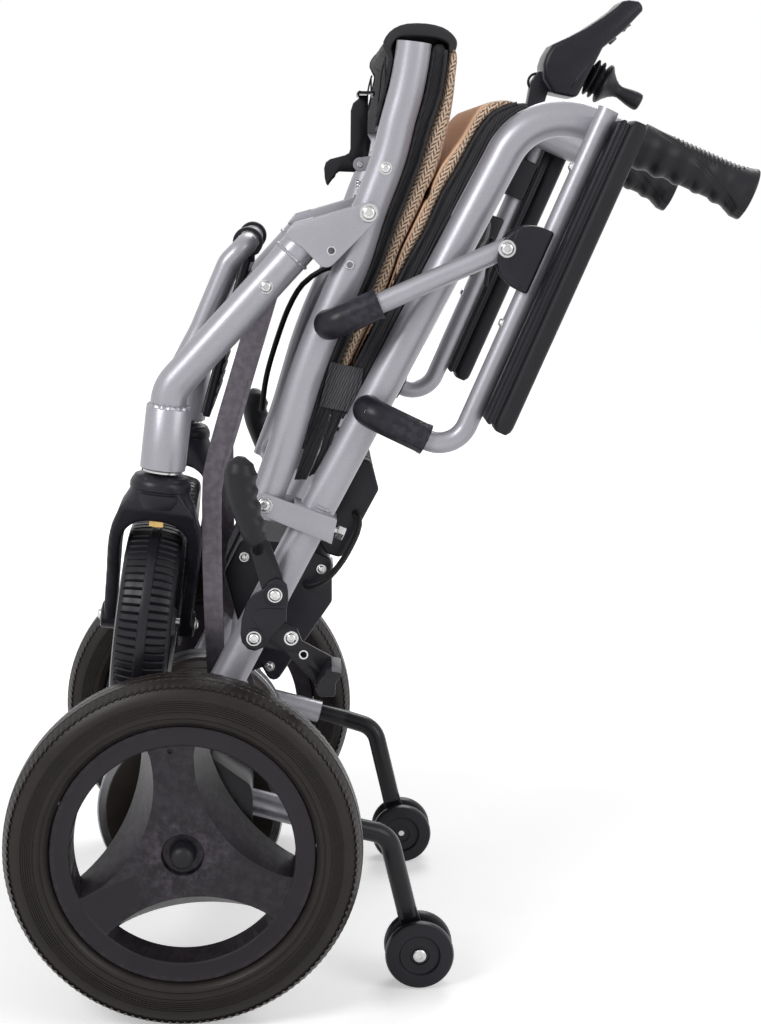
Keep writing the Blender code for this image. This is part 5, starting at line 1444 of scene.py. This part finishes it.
def makeBrake():
    s = brakeShape
    cover = mm(72.3, 386.8, 76.6, 392.6, 83.1, 395.9, 88.8, 395, 92.7, 390.3, 93.8, 383.7, 93.7, 375.7,
               92.2, 368.3, 92.1, 357.3, 87.1, 351.5, 75.4, 338.3, 70.4, 333.2, 63.8, 330.6, 57.4, 332.5,
               52.4, 338.5, 51.1, 346.6, 52.6, 359.8, 57.1, 374.5, 63.6, 382.5)
    outline = roundedOutline(cover, 0.0012, 2)
    shell = plateFrom(outline, 0.227, 0.2306, 0.001, 3)
    panel = mm(62.3, 359, 62.3, 363.4, 65.6, 367.8, 70, 369.5, 90.5, 368.8, 90.6, 357.3, 86, 352.2, 75.8,
               340.8, 72.6, 342.5, 69.8, 349.4, 66.5, 353.8)
    raised = plateFrom(roundedOutline(panel, 0.0012, 2), 0.23, 0.2318, 0.0007, 3)
    base = mm(85, 395, 93, 383, 92, 368, 78, 337, 66, 330, 52, 351, 59, 374)
    back = plateFrom(roundedOutline(base, 0.004), 0.2094, 0.2215, 0.001, 2)
    parts = [raised, back]
    for spot in (s["lever"], s["shoe"]):
        parts.append(pinAt(spot, 0.004, 0.2205, 0.229, 24))
        ring = mm(6.6, 230, 9.2, 230, 9.2, 231.6, 8.6, 232.2, 7.2, 232.2, 6.6, 231.4)
        parts.append(turned(ring, at(*spot), (0, -1, 0), 40, True))
    bothSides(joined(shell, *parts), "brakeHousing", "rear", "blackPlastic", ["brake_plate"], 40)
    dressScrews([screwAt(at(*spot, 0.23), size=0.95) for spot in (s["lever"], s["shoe"])], "brakeScrews",
                "rear")
    flat = arc(s["lever"], 0.01, 195, 360, 14) + mm(88.5, 398, 77.5, 428, 72, 433, 60, 430, 59.2, 425)
    stem = plateFrom(flat, 0.2225, 0.2265, 0.0006, 2)
    neck = smoothRoute(spots3(67.2, 420, 223.8, 66.8, 427, 231, 67, 433, 245, 67.2, 439, 262,
                              66.6, 445, 279), 0.004)
    fused(stem, tubeThrough(neck, 0.0052, 6))
    cut(stem, pinAt(s["lever"], 0.0047, 0.21, 0.2269, 24))
    bothSides(stem, "brakeLever", "lever_SIDE", "blackPaint", ["brake_lever"], 40)
    line = mm(69, 437.5, 65.5, 445, 60, 462, 56, 476, 54.5, 488, 54, 498, 54.5, 506, 55.2, 511.5)
    sizes = [0.0086, 0.0106, 0.012, 0.013, 0.0138, 0.0138, 0.011, 0.003]
    rows = []
    route = smoothRoute([at(*spot, 0.2795) for spot in line], 0.0012)
    knots = [0.0]
    for first, second in zip(line, line[1:]):
        knots.append(knots[-1] + math.dist(first, second))
    reach = 0.0
    for index, spot in enumerate(route):
        if index:
            reach += (spot - route[index - 1]).length
        share = min(knots[-1], reach * knots[-1] / 0.0768)
        for first, second, low, high in zip(knots, knots[1:], sizes, sizes[1:]):
            if share <= second:
                radius = low + (high - low) * (share - first) / (second - first)
                break
        ahead = route[min(index + 1, len(route) - 1)] - route[max(index - 1, 0)]
        across = Vector((0, -1, 0)).cross(ahead.normalized())
        ring = []
        for step in range(32):
            angle = 2 * math.pi * step / 32
            fingers = 1 if 0.006 < reach < 0.062 else 0
            ripple = 0.0011 * math.cos(2 * math.pi * reach / 0.015) * max(0, -math.cos(angle)) * fingers
            away = across * math.cos(angle) + Vector((0, 1, 0)) * math.sin(angle)
            ring.append(spot + away * (radius + ripple))
        rows.append(ring)
    bothSides(lofted(rows), "leverGrip", "lever_SIDE", "gripRubber", (), 40)


def makeShoe():
    s = brakeShape
    arm = arc(s["shoe"], 0.0095, 110, 290, 14)
    arm += mm(90.6, 329, 116.3, 299, 130, 300, 138, 319, 130.4, 324.7, 105.7, 338.5, 101.4, 349.5, 89, 355.5)
    plate = plateFrom(roundedOutline(arm, 0.0012, 2), 0.2225, 0.2262)
    cut(plate, pinAt(s["shoe"], 0.0047, 0.22, 0.23, 24), pinAt((0.107, 0.326), 0.003, 0.22, 0.23, 24))
    bevelled(plate, 0.0006, 2, 45)
    clamp = mm(131.4, 324, 139.9, 322.5, 139.2, 315, 135, 309.1, 134.5, 300.3, 133.4, 296.8, 120, 297.2,
               116.8, 303, 121.5, 309.3, 124.5, 315.1, 127.8, 320)
    jaw = plateFrom(roundedOutline(clamp, 0.001, 2), 0.2255, 0.264, 0.0009, 2)
    ribs = [plateFrom(oblong(0.1192 - 0.001 * step, z, 0.135, z + 0.0015),
                      0.2262, 0.2632, 0.0003, 1) for step, z in enumerate((0.298, 0.3012, 0.3044))]
    bothSides(joined(plate, jaw, *ribs), "brakeShoe", "shoe_SIDE", "blackPaint", ["brake_shoe"], 40)
    ring = turned(mm(3, 226.2, 4.1, 226.2, 4.1, 226.6, 3, 226.6), at(0.107, 0.326), (0, -1, 0), 32, True)
    dressScrews([screwAt(at(0.096, 0.341, 0.2262), size=0.85), ring], "shoeScrews", "shoe_SIDE")
    top = plateFrom(mm(131.6, 324.2, 140, 322.6, 139.7, 318, 131.2, 319.6), 0.225, 0.2645, 0.0008, 2)
    bothSides(top, "shoeCap", "shoe_SIDE", "greyPlastic")


makeBrake()
makeShoe()
print("brakes are in")


seatShape = {"pivot": (0.073, 0.459), "latch": (0.164, 0.757), "cross": (0.183, 0.76), "half": 0.187,
             "line": mm(68.4, 446.8, 87, 496, 98, 532, 109, 568, 122, 603, 138, 639, 153, 674, 166.2, 715.5,
                        183, 760, 192, 795, 199, 820, 204, 846, 206, 861),
             "seam": mm(116, 510, 137, 550, 160, 600, 182, 645, 195, 681, 204, 700, 216, 725, 227.8, 751,
                        240, 800, 245.8, 850),
             "band": mm(10, 500, 9.5, 580, 9.5, 660, 12.5, 720, 14, 780, 17, 820, 18.5, 860)}


def fineLine(line, step=0.003):
    return [(spot.x, spot.z) for spot in smoothRoute([Vector((x, 0, z)) for x, z in line], step)]


seatLine = fineLine(seatShape["line"])
seamLine = fineLine(seatShape["seam"])


def xAt(line, height):
    for first, second in zip(line, line[1:]):
        if height <= second[1]:
            break
    return first[0] + (second[0] - first[0]) * (height - first[1]) / (second[1] - first[1])


def shifted(line, distance):
    spots = []
    for index, spot in enumerate(line):
        way = unit(line[max(index - 1, 0)], line[min(index + 1, len(line) - 1)])
        spots.append((spot[0] + way[1] * distance, spot[1] - way[0] * distance))
    return spots


tubeFace = shifted(seatLine, seatTubeRadius + 0.0005)
tubeBack = shifted(seatLine, -seatTubeRadius - 0.0005)


def makeSeatTubes():
    s = seatShape
    tube = tubeThrough([at(x, z, frameY) for x, z in fineLine(s["line"], 0.009)], seatTubeRadius, 14)
    cut(tube, pinAt(s["pivot"], 0.0047, 0.16, 0.22, 24), pinAt(legShape["pivot"], 0.0047, 0.16, 0.22, 24),
        pinAt((0.1493, 0.6702), 0.0028, 0.204, 0.215, 24))
    bothSides(tube, "seatTube", "seat", "silverPaint", ["seat_tube"])
    ring = turned(mm(2.8, 207.8, 4, 207.4, 4.2, 208.6, 3.8, 209, 2.8, 208.8), at(0.1493, 0.6702),
                  (0, -1, 0), 32, True)
    screws = [screwAt(at(0.1808, 0.7533, 0.2078), size=0.75), ring]
    dressScrews(screws, "seatScrews", "seat")
    bar = tubeThrough([at(*s["cross"], 0.1774), at(*s["cross"], -0.1774)], 0.01, 12)
    lugs = []
    for place in (-0.005, 0.005):
        lug = mm(183, 753.5) + arc(s["latch"], 0.0068, 275, 85, 16) + mm(183, 766.5)
        lugs.append(plateFrom(lug, place - 0.0018, place + 0.0018, 0.0004, 1))
    shelf = mm(186, 754, 179, 756, 168, 729, 158, 727, 158, 724, 172, 724)
    lugs.append(plateFrom(shelf, -0.0065, -0.0035, 0.0004, 1))
    lugs.append(plateFrom(mm(168, 728.5, 158, 728.5, 158, 724.5, 168, 724.5), -0.005, 0.0045, 0.0004, 1))
    for side in (-1, 1):
        lugs.append(weldRing(at(*s["cross"], side * 0.1765), (0, 1, 0), 0.01, 0.0012))
    dress(joined(bar, *lugs), "seatCrossTube", "seat", "silverPaint", ["seat_cross_tube"])
    dress(pinAt(s["latch"], 0.003, -0.0075, 0.0075, 24, 0.0005), "latchPin", "seat", "zinc")
    coil = []
    for step in range(5 * 28 + 1):
        angle = 2 * math.pi * step / 28
        coil.append(at(0.163 + 0.0029 * math.cos(angle), 0.7293 + 0.013 * step / 140,
                       0.0029 * math.sin(angle)))
    dress(tubeThrough(coil, 0.0005, 2), "latchSpring", "seat", "zinc", ["latch_spring"])


def makeLatch():
    hook = mm(162.8, 822.5, 162.8, 819.5, 157.5, 815, 155.2, 808, 154.8, 772, 153.5, 768, 149.7, 765.9,
              135.2, 762.1, 131, 759, 129.4, 753.5, 130, 744, 131.2, 739, 133, 736.6, 135, 739.6, 137.2,
              742.5, 139.8, 745, 141, 748, 144, 750.2, 158.3, 749.7)
    hook += arc(seatShape["latch"], 0.0066, 240, 340, 8) + mm(174.8, 779, 171.6, 785, 171.2, 790, 172.2,
            822.5)
    plate = plateFrom(hook, -0.0022, 0.0022)
    cut(plate, pinAt(seatShape["latch"], 0.0036, -0.005, 0.005, 24))
    bevelled(plate, 0.0005, 2, 45)
    lip = mm(162.4, 820.5, 161, 822.2, 161.2, 825, 163, 826.4, 165.5, 825.8, 173.5, 825.8, 176, 826.5,
             177.8, 825, 178, 822.2, 176.4, 820.5, 175.5, 821.5, 176, 823.2, 174.5, 823.8, 164.5, 823.8,
             162.8, 823.2, 163.2, 821.6)
    flange = plateFrom(lip, -0.02, 0.02, 0.0004, 1)
    dress(joined(plate, flange), "latchHook", "latch", "blackPaint", ["latch_hook"])


def layWeave(item, along, onlyWide=False):  # pattern in metres: along the pad, and across it
    layer = item.data.uv_layers.active or item.data.uv_layers.new(name="weave")
    for face in item.data.polygons:
        side = abs(face.normal.y) > 0.7
        for corner in face.loop_indices:
            spot = item.data.vertices[item.data.loops[corner].vertex_index].co
            length = along(spot)
            across = spot.x * 0.9 - spot.z * 0.42 if side and not onlyWide else spot.y
            layer.data[corner].uv = (length, across)


def lengthOn(spot):
    return spot.x * 0.42 + spot.z * 0.9


def sewn(item, name, body, look="binding", nodes=(), smooth=50, onlyWide=False, along=lengthOn):
    layWeave(item, along, onlyWide)
    dress(item, name, body, look, nodes, smooth)


def padRing(front, rear, half, corner, crown):
    thick = math.dist(front, rear)
    way = unit(front, rear)
    corner = min(corner, thick * 0.45)
    flat = [-(half - corner) + 2 * (half - corner) * step / 24 for step in range(25)]

    def roundAt(side, angles, atRear):
        spots = []
        for angle in angles:
            first = corner * (1 - math.sin(math.radians(angle)))
            second = corner * (1 - math.cos(math.radians(angle)))
            spots.append((side * (half - second), thick - first) if atRear
                         else (side * (half - first), second))
        return spots
    ring = [(y, 0.0) for y in flat] + roundAt(1, (25, 50, 75), False)
    ring += [(half, thick * share) for share in (0.42, 0.58)] + roundAt(1, (15, 40, 65), True)
    ring += [(-y, thick - crown(-y)) for y in flat] + roundAt(-1, (65, 40, 15), True)
    ring += [(-half, thick * share) for share in (0.58, 0.42)] + roundAt(-1, (75, 50, 25), False)
    return [at(front[0] + way[0] * n, front[1] + way[1] * n, y) for y, n in ring]


def padSkinFrom(stations, half, corner, dips=(), hollow=0.0016):
    rows = []
    reach = 0.0
    total = sum(math.dist(a[0], b[0]) for a, b in zip(stations, stations[1:]))
    for index, (front, rear) in enumerate(stations):
        if index:
            reach += math.dist(front, stations[index - 1][0])
        near = min(reach, total - reach)
        pull = math.sqrt(max(0.0, 1 - (1 - min(1, near / 0.012)) ** 2))
        middle = between(front, rear, 0.5)
        size = 0.45 + 0.55 * pull
        first, second = between(middle, front, size), between(middle, rear, size)
        dip = sum(0.0034 * math.exp(-((reach / total - place) / 0.014) ** 2) for place in dips)
        waist = 0.0022 * math.sin(math.pi * reach / total)
        rows.append(padRing(first, second, half - waist - 0.0045 * (1 - pull), corner,
                            lambda y, dip=dip: dip + hollow * (abs(y) / half) ** 4 + 0.0002))
    return lofted(rows)


clothValues = {"quality": 4, "mass": 0.25, "tension_stiffness": 12, "compression_stiffness": 12,
               "bending_stiffness": 0.6, "use_pressure": True, "uniform_pressure_force": 4}
swellFrames = 20


def settled(item, cap):  # swells the pad as cloth, then keeps each point within the cap
    applyModifier(item, "REMESH", mode="VOXEL", voxel_size=0.0045)
    before = [vertex.co.copy() for vertex in item.data.vertices]
    selectOnly(item)
    cloth = item.modifiers.new("cloth", "CLOTH")
    for key, value in clothValues.items():
        setattr(cloth.settings, key, value)
    cloth.settings.effector_weights.gravity = 0
    cloth.collision_settings.use_collision = False
    cloth.point_cache.frame_start = 1
    cloth.point_cache.frame_end = swellFrames
    for step in range(1, swellFrames + 1):
        bpy.context.scene.frame_set(step)
    selectOnly(item)
    bpy.ops.object.modifier_apply(modifier=cloth.name)
    for vertex, start in zip(item.data.vertices, before):
        move = vertex.co - start
        if move.length > cap:
            vertex.co = start + move.normalized() * cap
    bpy.context.scene.frame_set(1)
    return applyModifier(item, "SMOOTH", factor=0.5, iterations=3)


def makeSeatPad():
    s = seatShape
    heights = [0.538 + 0.321 * step / 66 for step in range(67)]
    stations = []
    for z in heights:
        front = (xAt(tubeFace, z), z)
        rear = (xAt(seamLine, min(z, 0.85)), z)
        thick = math.dist(front, rear)
        stations.append((between(front, rear, min(0.6, xAt(s["band"], z) / thick)),
                         between(front, rear, 0.99)))
    pad = padSkinFrom(stations, s["half"] - 0.0008, 0.0055, (0.3, 0.62))
    settled(pad, 0.0012)
    sewn(pad, "seatPad", "seat", "spacerMesh", ["seat_cushion"], 60)
    under = []
    low = [0.505 + 0.355 * step / 71 for step in range(72)]
    for z in low:
        front = (xAt(tubeFace, z), z)
        rear = (xAt(seamLine, min(max(z, 0.512), 0.85)), max(z, 0.512))
        thick = max(0.012, math.dist(front, rear))
        under.append((front, between(front, rear, min(0.6, xAt(s["band"], z) / thick) - 0.012)))
    sling = padSkinFrom(under, s["half"] - 0.0014, 0.003, (), 0.0)
    sewn(sling, "seatSling", "seat")
    cords = []
    for side in (-1, 1):
        for share, size, out in ((0.14, 0.0015, 0.1862), (0.9, 0.0018, 0.1866)):
            line = [between(first, second, share) for first, second in under]
            route = [at(x, z, side * out) for x, z in line[::2]]
            scales = [1 + 0.05 * math.sin(index * 0.9) for index in range(len(route))]
            cords.append(tubeThrough(route, size, 3, scales))
    sewn(joined(*cords), "seatPiping", "seat")
    layers = ((mm(122.5, 546, 109, 506.7, 99.5, 477.8), mm(134.5, 544, 121.5, 504, 110.5, 477.8), 0.187),
              (mm(135, 544, 123, 504, 112, 480), mm(146.5, 544, 131, 506, 118, 483), 0.185))
    tails = []
    for side in (-1, 1):  # the sling's folded ends run on down to the bracket
        for left, right, out in layers:
            first, second = fineLine(left, 10), fineLine(right, 10)
            rows = []
            for index, (a, b) in enumerate(zip(first, second)):
                ring = [at(*between(a, b, part / 12), side * (out + 0.0007 * math.sin(part * 0.9 + index)))
                        for part in range(13)]
                ring += [at(*between(a, b, part / 12), side * (out - 0.0018)) for part in range(12, -1, -1)]
                rows.append(ring)
            tails.append(lofted(rows))
    sewn(joined(*tails), "slingEnds", "seat")


hoodShape = {"half": 0.1885, "notch": (0.78, 0.841, 0.0262),
             "outer": mm(180.7, 858, 182.9, 865.3, 189.5, 871.8, 200.3, 875.6, 216.9, 875.7, 230.2, 872.7,
                         237.7, 867.9, 241.9, 862.2, 241.6, 857.3, 240, 853),
             "inner": mm(186.2, 856, 188.2, 861.2, 191.5, 865.2, 200.3, 866.8, 216, 866.8, 227, 865.5,
                         233.5, 862.8, 237, 860, 237.4, 857, 237.6, 853.5)}


def makeHood():
    h = hoodShape
    half = h["notch"][2]
    heights = (0.79, 0.797, 0.804, 0.811, 0.818, 0.825, 0.832, 0.84, 0.848)
    outer = fineLine([(xAt(tubeBack, z) - 0.003, z) for z in heights] + h["outer"], 10)
    inner = fineLine([(xAt(tubeBack, z) - 0.0004, z) for z in heights] + h["inner"], 10)
    rows = []
    count = 40
    for index, (spot, deep) in enumerate(zip(outer, inner)):
        way = unit(deep, spot)
        low = min(1, max(0, (0.858 - spot[1]) / 0.012)) * (spot[0] < 0.2)
        ring = []
        for place, size in ((spot, 1.0), (deep, 0.3)):
            for step in (range(count + 1) if size == 1.0 else range(count, -1, -1)):
                y = -h["half"] + 2 * h["half"] * step / count
                wave = 0.0004 * math.sin(y * 95 + index * 0.35) + 0.0004 * math.sin(y * 41 - index * 0.8)
                wave *= size
                back = min(1, max(0, (0.172 - abs(y)) / 0.022)) * 0.0115 * low  # between the tubes
                ring.append(at(place[0] + way[0] * wave + back, place[1] + way[1] * wave, y))
        rows.append(ring)
    hood = lofted(rows)
    cut(hood, plateFrom(oblong(0.15, h["notch"][0] - 0.01, 0.21, h["notch"][1]), -half, half))
    bevelled(hood, 0.0007, 2, 50)
    sewn(hood, "seatHood", "seat", onlyWide=True)
    hems = [tubeThrough([at(x, z, side * 0.1868) for x, z in outer[2:-1]], 0.0017, 3) for side in (-1, 1)]
    sewn(joined(*hems), "hoodPiping", "seat")


def resampled(line, count):
    fine = fineLine(line, 0.001)
    reach = [0.0]
    for first, second in zip(fine, fine[1:]):
        reach.append(reach[-1] + math.dist(first, second))
    spots = []
    index = 0
    for step in range(count + 1):
        goal = reach[-1] * step / count
        while index < len(fine) - 2 and reach[index + 1] < goal:
            index += 1
        share = (goal - reach[index]) / (reach[index + 1] - reach[index])
        spots.append(between(fine[index], fine[index + 1], share))
    return spots


backSlope = (0.3104 + 0.0123) / (0.8128 - 0.2017)  # of the back tube
backShape = {"half": 0.1885, "count": 72,
             "top": mm(230, 753.1, 237.8, 764, 244, 772.5, 249.5, 780, 254.5, 788, 259.8, 797, 266, 805,
                       274, 811, 283, 813.5, 292.5, 813.8, 298.5, 813.2),
             "middle": mm(129, 538, 150, 575, 171, 614, 187, 646, 198.5, 668.1, 206.8, 683.2, 216.4, 699.9,
                          224, 716.6, 231.6, 733.2, 242, 749.8, 251.2, 766.4, 260.5, 782.9, 271.2, 797.7,
                          278, 803, 287, 806.8, 295, 809.5, 300, 810.6)}


def backTubeAt(z):
    face = (tubeRadius + 0.0007) / math.cos(math.atan(backSlope))
    return -0.0123 + (z - 0.2017) * backSlope - face


def makeBackPad():
    b = backShape
    front = resampled([(x + 0.001, z) for x, z in seatShape["seam"][1:] if z < 0.74] + b["top"], b["count"])
    middle = resampled(b["middle"], b["count"])
    rear = resampled([(backTubeAt(z), z) for z in (0.528, 0.56, 0.6, 0.64, 0.68, 0.72, 0.75)]
                     + arc((0.3361, 0.7395), 0.0738, 156, 111, 8), b["count"])
    core = [(second, first) for first, second in zip(front, middle)]
    sling = [(between(second, third, 0.04), third) for second, third in zip(middle, rear)]
    pad = padSkinFrom(core, b["half"], 0.005, (0.32, 0.62))
    settled(pad, 0.0012)
    sewn(pad, "backPad", "rear", "spacerMesh", ["back_cushion"], 60)
    sewn(padSkinFrom(sling, b["half"] - 0.0005, 0.004, (), 0.0), "backSling", "rear")
    rows = []
    total = b["count"]
    for index in range(2, total - 5):  # smooth panel sewn to the face that meets the seat
        deep, outer = core[index]
        way = unit(deep, outer)
        share = index / total
        dip = sum(0.0032 * math.exp(-((share - place) / 0.016) ** 2) for place in (0.32, 0.62))
        rise = (0.0016 if 2 < index < total - 6 else 0.0004) - dip
        places = [-0.182 + 0.364 * step / 32 for step in range(33)]
        lifts = [(y, rise - 0.0014 * (abs(y) / 0.182) ** 6) for y in places]
        lifts += [(y, -0.0022 - dip * 0.8) for y in reversed(places)]
        rows.append([at(outer[0] + way[0] * lift, outer[1] + way[1] * lift, y) for y, lift in lifts])
    sewn(lofted(rows), "backFace", "rear", "smoothTan", onlyWide=True)
    cords = []
    for side in (-1, 1):
        for share, size, out in ((0.06, 0.0017, 0.1872), (0.93, 0.0015, 0.1868)):
            route = [at(*between(first, second, share), side * out) for first, second in sling[1:-1]]
            cords.append(tubeThrough(route, size, 3))
    sewn(joined(*cords), "backPiping", "rear")


def makePocket():
    shape = mm(530, -15, 700, -15, 706, 26, 690, 31, 672, 28, 664, 4, 550, 4, 535, -4)
    rows = []
    for step in range(41):
        u = -1 + 2 * step / 40
        y = 0.172 * u
        spots = []
        for z, out in shape:
            if out > 0.0:
                sag = 0.004 * math.sin(math.pi * step / 40) if z < 0.69 else 0
                out = out * (1 - 0.35 * abs(u) ** 5) + sag + 0.0012 * math.sin(y * 70 + z * 30)
            spots.append((-0.0123 + (z - 0.2017) * backSlope + out / 0.884, z))
        outline = roundedOutline(spots, 0.0028, 3)
        rows.append([at(x, z, y) for x, z in outline])
    sewn(lofted(rows), "backPocket", "rear", "webbing", ["back_pocket"], onlyWide=True)
    pull = mm(283, 690, 285.5, 690, 280, 645, 277.5, 645.5)
    pulls = [plateFrom(pull, y - 0.01, y + 0.01, 0.0006, 1) for y in (-0.09, 0.09)]
    sewn(joined(*pulls), "pocketPulls", "rear", "webbing", onlyWide=True)


def makeStraps():
    corners = mm(132.5, 583.5, 161.6, 577.3, 156.1, 537.3, 122.4, 544.4)
    bands = []
    for side in (-1, 1):
        rows = []
        for step in range(15):
            share = step / 14
            first, second = between(corners[0], corners[3], share), between(corners[1], corners[2], share)
            ring = []
            for part in range(25):
                spot = between(first, second, part / 24)
                bulge = 0.0016 * math.sin(math.pi * part / 24) + 0.0005 * math.cos(2 * math.pi * part / 3)
                fray = 0.0006 * math.cos(part * 2.1) * (step in (0, 14))
                ring.append(at(spot[0], spot[1] + fray, side * (0.1893 + bulge)))
            for part in range(24, -1, -1):
                ring.append(at(*between(first, second, part / 24), side * 0.188))
            rows.append(ring)
        bands.append(lofted(rows))
    sewn(joined(*bands), "foldBand", "rear", "webbing", along=lambda spot: spot.z)
    for side, label in ((1, "Left"), (-1, "Right")):  # pull cord that opens the hood
        line = mm(181.5, 849, 179.7, 843, 177.6, 833.6, 176.2, 820.3, 174.8, 810.3)
        line += arc((0.1782, 0.806), 0.0038, 165, 375, 12)
        line += mm(181.4, 813, 181.2, 823, 181, 836, 180.8, 847)
        spots = [at(x, z, side * (0.18 + 0.0004 * index)) for index, (x, z) in enumerate(line)]
        route = smoothRoute(spots, 0.002)
        loop = curveThrough(route, 0.0009, 3)
        dress(loop, "pullLoop" + label, "seat", "cableRubber")
        knot = turned(mm(0, -6.5, 2, -6, 3, -3.5, 2.6, -0.5, 3.1, 2, 2.2, 5.2, 0, 5.8),
                      at(0.1782, 0.7998, side * 0.1822), (0.15, 0, 1), 20)
        dress(knot, "pullKnot" + label, "seat", "cableRubber")


leads = {"batteryLead": {"body": "rear", "node": "battery_cable", "step": 0.006,
                         "route": spots3(156, 435, 120.9, 156, 435, 127, 159, 432, 133.5, 157, 420, 136.5,
                                         144, 395, 137.5, 128, 376, 136.5, 115, 370, 133.5, 110, 369, 127,
                                         110, 369, 120.9)},
         "controlLead": {"body": "seat", "node": "control_cable", "step": 0.008,
                         "route": spots3(64, 500, -160, 69, 535, -164, 79, 570, -166, 93, 608, -166.5,
                                         108, 633, -166, 127, 647, -165, 140, 651, -166.5, 144, 652, -170,
                                         144, 652, -176.6)}}


def makeLeads():
    for name, lead in leads.items():
        route = smoothRoute(lead["route"], lead["step"])
        item = dress(curveThrough(route, 0.003, 4), name, lead["body"], "cableRubber", [lead["node"]])


makeSeatTubes()
makeLatch()
makeSeatPad()
makeHood()
makeBackPad()
makePocket()
makeStraps()
makeLeads()
print("seat, back and leads are in")

bpy.data.objects.remove(screwMaster)
